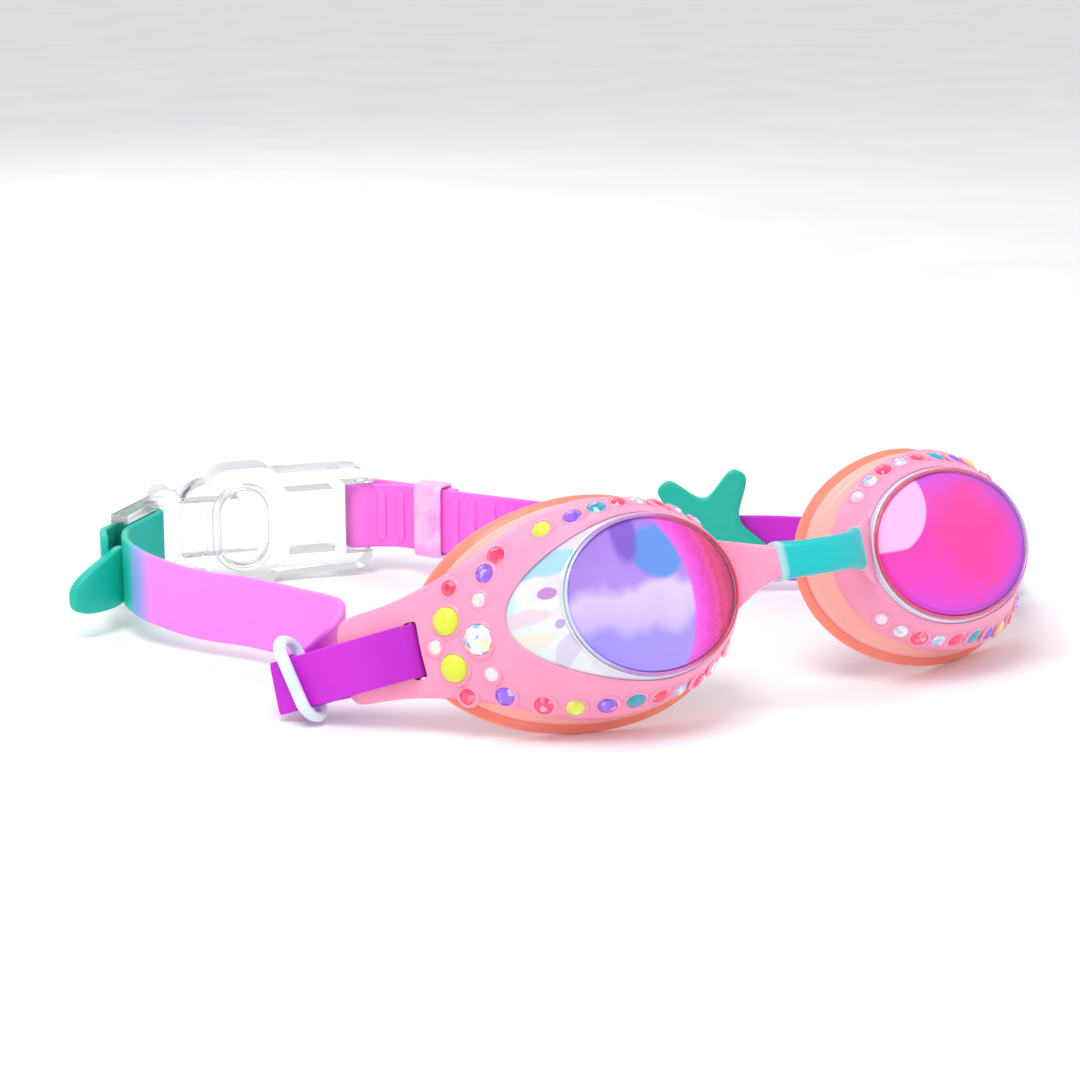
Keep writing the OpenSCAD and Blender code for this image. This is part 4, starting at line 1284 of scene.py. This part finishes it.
def ribbon(stations, thickness):
    """A strap: a rectangle with round corners carried along the route, with softened cut ends.

    The section is the signs of its four corners times their distance from the middle, plus an arc
    at each."""
    corner = 0.55
    points, up, width, run = smooth_route(stations)
    side = sides_of(points, up)
    signs, arc = rounded_section(1, 1, 0), rounded_section(corner, corner, corner)
    shrink = np.ones(len(points))
    shrink[0], shrink[-1] = 0.9, 0.9
    across = signs[None, :, 0] * (width / 2 * shrink - corner)[:, None] + arc[None, :, 0]
    deep = (signs[None, :, 1] * (thickness / 2 - corner) + arc[None, :, 1]) * shrink[:, None]
    rows = points[:, None] + across[..., None] * up[:, None] + deep[..., None] * side[:, None]
    return rows, run


AFTER_WRAP = 10                 # stations of the left route from the turn round the bar to the end
RIBS, RIB_PITCH, RIB_START = 13, 4.9, 5.0  # how many, how far apart, and from where by the clasp
RIB_SIZE = (6.0, 0.95, 0.75)    # half length, half width and rise


def bar_on(point, up, side, along, half_len, half_w, rise):
    """A rib on the strap: a capsule outline with a domed top, across the strap's width."""
    a = full_turn(20)
    straight = np.sign(np.cos(a)) * (half_len - half_w)
    shape = np.stack([straight + half_w * np.cos(a), half_w * np.sin(a)], -1)
    return tube(carried(cushion(shape, np.zeros(2), 2 * rise, rise * 0.9, 0.0), point, up, along, side))


class GOGGLES_OT_straps(bpy.types.Operator):
    """Make the right and left halves of the silicone strap"""

    bl_idname = "goggles.straps"
    bl_label = "Straps"

    def execute(self, context):
        colours = context.scene.goggles_colours
        thick = context.scene.goggles_sizes.strap_thickness / MM
        rows, run = ribbon(RIGHT_ROUTE, thick)
        stations = run[::FINE] / run[-1]
        slot, hidden, corner, bend, wrap = stations[list(RIGHT_MARKS)]
        # From half way along the tail the colour deepens into painted shade at the slot, and that shade
        # covers the layer behind the wing up to the last hidden station.
        painted_dark, orchid = deeper(colours.fuchsia, 0.4), colours.orchid
        right = silicone_run("Ombre silicone, fuchsia to orchid to teal", [
            (0.0, deeper(colours.fuchsia, 0.1)), (slot * 0.5, colours.fuchsia), (slot, painted_dark),
            (hidden, painted_dark), (corner, orchid), (bend - 0.008, orchid),
            ((bend + wrap) / 2, "#8FA8F0"), (wrap, colours.charm), (1.0, colours.charm)])
        strap = make_piece("right_strap_ribbon", tube(rows), "goggles", right,
                           replaces=("right_strap", "right_strap_tail"),
                           along=np.repeat(run / run[-1], rows.shape[1]), riding=False)
        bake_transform(strap)
        rows, run = ribbon(LEFT_ROUTE, thick)
        left = silicone_run("Ombre silicone, fuchsia to pink", [
            (0.0, deeper(colours.fuchsia, 0.1)), (0.3, colours.fuchsia), (0.52, colours.fuchsia),
            (0.64, "#D93BE6"), (0.76, "#FF74E6"), (1.0, "#FF86E8")])
        make_piece("left_strap_ribbon", tube(rows), "goggles", left,
                   replaces=("left_strap",), along=np.repeat(run / run[-1], rows.shape[1]))
        points, up, _, run = smooth_route(LEFT_ROUTE)
        side, along = sides_of(points, up), np.gradient(points, axis=0)
        wrap = run[FINE * (len(LEFT_ROUTE) - AFTER_WRAP)]
        ribs, shade_at = [], []
        for place in wrap - RIB_START - RIB_PITCH * np.arange(RIBS):
            k = int(np.searchsorted(run, place))
            at = points[k] - side[k] * (thick / 2 - 0.1)
            ahead = along[k] / np.linalg.norm(along[k])
            ribs.append(bar_on(at, up[k], side[k], ahead, *RIB_SIZE))
            shade_at.append(np.full(len(ribs[-1][0]), run[k] / run[-1]))
        make_piece("left_strap_ribs", joined(ribs), "goggles", left,
                   along=np.concatenate(shade_at))
        return {"FINISHED"}


def ring_loop(straight, radius):
    """A stadium: two straight sides and two half circles of that radius."""
    return rounded_section(straight + radius, radius, radius, 10)


def sleeve(at, turn, middle, wall, half_z, half_b, corner, per_corner):
    """A band round a straight stretch of strap: a loop round the strap for each point of its wall.

    middle is the band's middle (along, across); wall is (half thickness, half length, corner)."""
    rows = []
    for radial, run in rounded_section(*wall, 4):
        loop = rounded_section(half_z + radial, half_b + radial, corner + radial, per_corner)
        x, y, z = turned(at, turn, middle[0] + run, middle[1] + loop[:, 1])
        rows.append(np.stack([x, y, z + loop[:, 0]], -1))
    return tube(np.stack(rows), closed=True)


RING_TILT, RING_RISE = 0.24, 0.6  # the ring's lean along the wing for each millimetre up, and its shift
ROD_DEEP = 1.25                 # how much deeper than wide the ring's rod is


class GOGGLES_OT_rings(bpy.types.Operator):
    """Make the two milky strap rings and the keeper"""

    bl_idname = "goggles.rings"
    bl_label = "Rings and keeper"

    def execute(self, context):
        rod = context.scene.goggles_sizes.ring_rod / MM / 2
        milky = milky_plastic("Milky polypropylene", "#D9E9F0")
        middle, inner, straight = (FRONT_N + RING_N) / 2, STRAP_T + 0.6, TAIL_W / 2 - 0.5
        for side, word in SIDES.items():
            rows = []
            for a in full_turn(16):
                loop = ring_loop(straight, inner + rod + rod * math.cos(a))
                tilt = RING_RISE + RING_TILT * loop[:, 0]
                rows.append(wing_point(side, RING_D + tilt + ROD_DEEP * rod * math.sin(a),
                                       middle + loop[:, 1], STRAP_LOW + loop[:, 0]))
            make_piece(word + "_slide_ring", tube(np.stack(rows), closed=True), word + "_ring",
                       milky, replaces=(word + "_strap_ring",), subdivide=1)
        pale = milky_plastic("Pale pink translucent silicone", "#FFA9F0")
        keeper = sleeve(KEEPER_AT, KEEPER_TURN, (2.5, 0.775), (0.42, 3.45, 0.3),
                        STRAP_W / 2 + 0.85, 2.825, 1.3, 6)
        make_piece("strap_keeper_band", keeper, "keeper", pale,
                   replaces=("strap_keeper",))
        return {"FINISHED"}


# ---------------------------------------------------------------------------------------------
# The clasp and the charms
# ---------------------------------------------------------------------------------------------


def level_axes(degrees):
    """Across, up and outward directions of an upright plate that is turned by degrees from +X."""
    c, n = math.cos(math.radians(degrees)), math.sin(math.radians(degrees))
    return (c, n, 0), (0, 0, 1), (n, -c, 0)


def capsule(half_a, half_b, count=48):
    """An upright capsule: half circles of radius half_a with straight sides between them."""
    a = full_turn(count)
    return np.stack([half_a * np.cos(a), half_a * np.sin(a) + np.sign(np.sin(a)) * (half_b - half_a)], -1)


class GOGGLES_OT_clasp(bpy.types.Operator):
    """Make the clear clasp: housing, button with its rim, and insert"""

    bl_idname = "goggles.clasp"
    bl_label = "Clasp"

    def execute(self, context):
        edge = context.scene.goggles_sizes.clasp_edge
        clear = clear_polycarbonate("Clear moulded polycarbonate")
        frosted = clear_polycarbonate("Frosted polycarbonate", "#F4F8FA", "#D5E0E6", 0.22, 0.3)
        rounded_copy("clasp_case", "clasp_housing", "goggles", clear, edge)
        rounded_copy("clasp_tongue", "clasp_insert", "right_strap_half", frosted, edge)
        axes = level_axes(CLASP_TURN)
        out = np.array(axes[2])
        middle = np.array(turned(TONGUE, CLASP_TURN, 1.0, 0))
        button = cushion(capsule(5.4, 8.6), np.zeros(2), 1.6, 0.5, 0.35)
        make_piece("push_button", tube(carried(button, middle + out * 4.1, *axes)),
                   "release_button", frosted, replaces=("release_button",))
        rod, rows = 0.75, []
        for a in full_turn(12):
            loop = capsule(6.5 + rod * math.cos(a), 9.7 + rod * math.cos(a), 64)
            flat = np.concatenate([loop, np.full((64, 1), 4.45 + rod * math.sin(a))], 1)
            rows.append(carried(flat, middle, *axes))
        make_piece("button_rim", tube(np.stack(rows), closed=True), "goggles", clear)
        return {"FINISHED"}


ARMS = (64, 137, 210, 270, 334)   # where the starfish's arms point, in degrees


def star_outline(tip, notch):
    """A starfish: straight-sided arms with blunt ends, their corners rounded by a running mean."""
    arms = np.radians(ARMS)
    valleys = (arms + np.append(arms[1:], arms[0] + 2 * math.pi)) / 2
    turn = np.stack([arms - 0.15, arms + 0.15, valleys], -1).ravel()
    reach = np.tile([tip + 0.4, tip + 0.4, notch], len(arms))
    corner = np.stack([reach * np.cos(turn), reach * np.sin(turn)], -1)
    t = np.linspace(0, 1, 12, endpoint=False)[None, :, None]
    edge = (corner[:, None] * (1 - t) + np.roll(corner, -1, 0)[:, None] * t).reshape(-1, 2)
    weights = np.hanning(15)[1:-1]
    spread = range(-6, 7)
    return sum(w * np.roll(edge, k, 0) for w, k in zip(weights / weights.sum(), spread))


def leaf_outline():
    """The pull tab: a rounded, drooping leaf, taller at its root than at its tip.

    Across is a cosine to the power 0.65 and half height a sine to that power. The height loses a
    fifth of a millimetre for each one outwards, and so does the middle line."""
    a = full_turn(96)
    x = 1.3 + 8.6 * np.sign(np.cos(a)) * np.abs(np.cos(a)) ** 0.65
    half = (6.0 - 0.2 * x) * np.sign(np.sin(a)) * np.abs(np.sin(a)) ** 0.65
    return np.stack([x, half - 2.2 - 0.2 * x], -1)


class GOGGLES_OT_charms(bpy.types.Operator):
    """Make the starfish charm, its sleeve and the leaf-shaped pull tab"""

    bl_idname = "goggles.charms"
    bl_label = "Charms"

    def execute(self, context):
        colours = context.scene.goggles_colours
        thick = context.scene.goggles_sizes.charm_thickness / MM
        teal = moulded_tpe("Moulded teal silicone", colours.charm, roughness=0.45, glow=0.15)
        axes = level_axes(STAR_TURN)
        ground = np.array(turned((STAR_STRAP[0], STAR_STRAP[1], 15.2), STAR_TURN, -1, 0))
        front = ground + np.array(axes[2]) * (0.8 + 0.35 + thick / 2)
        shape = star_outline(14.8, 6.2)
        make_piece("starfish", tube(carried(cushion(shape, np.zeros(2), thick, 0.8, 0.25), front, *axes)),
                   "goggles", teal, replaces=("star_charm",))
        back = sleeve(STAR_STRAP, STAR_TURN, (-1, 0), (0.6, 3.9, 0.4), STRAP_W / 2 + 1.0, 1.9, 1.0, 5)
        make_piece("starfish_sleeve", back, "goggles", teal)
        axes = level_axes(203)
        rows = cushion(leaf_outline(), np.array([1.3, -2.4]), thick, 0.8, 0.15)
        rows[..., 2] += 0.012 * rows[..., 0] ** 2
        make_piece("leaf_tab", tube(carried(rows, (-96.6, 109.2, CLASP_Z), *axes)), "right_strap_half",
                   teal, replaces=("pull_tab",))
        return {"FINISHED"}


# ---------------------------------------------------------------------------------------------
# Stage
# ---------------------------------------------------------------------------------------------


def area_light(name, energy, size, place, target=(0.0, 0.0, 0.015)):
    """A square soft light at a place in metres, turned to its target."""
    light = bpy.data.lights.new(name, "AREA")
    light.energy, light.size = energy, size
    obj = bpy.data.objects.new(name, light)
    bpy.context.scene.collection.objects.link(obj)
    way = np.array(place) - np.array(target)
    obj.location = place
    obj.rotation_euler = (math.acos(way[2] / np.linalg.norm(way)), 0,
                          math.atan2(way[1], way[0]) + math.pi / 2)
    return obj


# Name, watts, size in metres and place in metres of each light
LIGHTS = (("key", 3.4, 0.4, (-0.3, -0.2, 0.75)), ("fill", 0.5, 0.6, (0.6, -0.5, 0.45)),
          ("back", 1.2, 0.5, (0.1, 0.7, 0.5)))

# The camera's turn from straight back and its dip from level, the point it looks at and how far off
LOOK_TURN, LOOK_DOWN = math.radians(31.83368), math.radians(14.35043)
LOOK_AT, LOOK_FROM = (-38.8, 25.55, 31.24), 570.0


class GOGGLES_OT_stage(bpy.types.Operator):
    """Make the pale floor, the soft lights and the camera"""

    bl_idname = "goggles.stage"
    bl_label = "Stage"

    def execute(self, context):
        scene = context.scene
        material, tree, shader = new_material("Pale paper floor")
        tree.links.new(shade(tree, "#FBFBFC", "#FFFFFF", object_noise(tree, 60)),
                       shader.inputs["Base Color"])
        set_shader(shader, Roughness=0.75)
        mesh = bpy.data.meshes.new("floor")
        mesh.from_pydata([(-3, -3, 0), (3, -3, 0), (3, 3, 0), (-3, 3, 0)], [], [(0, 1, 2, 3)])
        floor = bpy.data.objects.new("floor", mesh)
        floor.location.z = CAD_BOX[0][2] - 0.02 * MM
        mesh.materials.append(material)
        scene.collection.objects.link(floor)
        world = bpy.data.worlds.new("Studio")
        world.use_nodes = True
        world.node_tree.nodes["Background"].inputs["Color"].default_value = (0.97, 0.98, 1.0, 1)
        world.node_tree.nodes["Background"].inputs["Strength"].default_value = 0.74
        scene.world = world
        scene.view_settings.view_transform = "Standard"
        for light in LIGHTS:
            area_light(*light)
        camera = bpy.data.cameras.new("camera")
        camera.lens, camera.sensor_width = 95.0, 36.0
        camera.clip_start, camera.clip_end = 0.01, 20
        obj = bpy.data.objects.new("camera", camera)
        scene.collection.objects.link(obj)
        right = np.array([math.cos(LOOK_TURN), -math.sin(LOOK_TURN), 0])
        up = np.array([math.sin(LOOK_DOWN) * math.sin(LOOK_TURN),
                       math.sin(LOOK_DOWN) * math.cos(LOOK_TURN), math.cos(LOOK_DOWN)])
        back = np.cross(right, up)
        axes = np.stack([right, up, back, to_row(np.array(LOOK_AT) + LOOK_FROM * back)], -1)
        obj.matrix_world = Matrix([*axes.tolist(), [0, 0, 0, 1]])
        scene.camera = obj
        return {"FINISHED"}


# ---------------------------------------------------------------------------------------------
# The add-on
# ---------------------------------------------------------------------------------------------

OPERATORS = [GOGGLES_OT_frames, GOGGLES_OT_gaskets, GOGGLES_OT_lenses, GOGGLES_OT_stones,
             GOGGLES_OT_bridge, GOGGLES_OT_straps, GOGGLES_OT_rings, GOGGLES_OT_clasp,
             GOGGLES_OT_charms, GOGGLES_OT_stage]


class GOGGLES_PT_panel(bpy.types.Panel):
    """Sizes, colours and the pieces in making order"""

    bl_label = "Swim goggles"
    bl_idname = "GOGGLES_PT_panel"
    bl_space_type = "VIEW_3D"
    bl_region_type = "UI"
    bl_category = "Goggles"

    def draw(self, context):
        for group in (context.scene.goggles_sizes, context.scene.goggles_colours):
            for key in group.__annotations__:
                self.layout.prop(group, key)
        for operator in OPERATORS:
            self.layout.operator(operator.bl_idname)


CLASSES = [GogglesSizes, GogglesColours, *OPERATORS, GOGGLES_PT_panel]


def register():
    for cls in CLASSES:
        bpy.utils.register_class(cls)
    bpy.types.Scene.goggles_sizes = bpy.props.PointerProperty(type=GogglesSizes)
    bpy.types.Scene.goggles_colours = bpy.props.PointerProperty(type=GogglesColours)


def unregister():
    del bpy.types.Scene.goggles_colours
    del bpy.types.Scene.goggles_sizes
    for cls in reversed(CLASSES):
        bpy.utils.unregister_class(cls)


def main():
    """Makes every piece in order."""
    register()
    for operator in OPERATORS:
        group, name = operator.bl_idname.split(".")
        getattr(getattr(bpy.ops, group), name)()


if __name__ == "__main__":
    main()
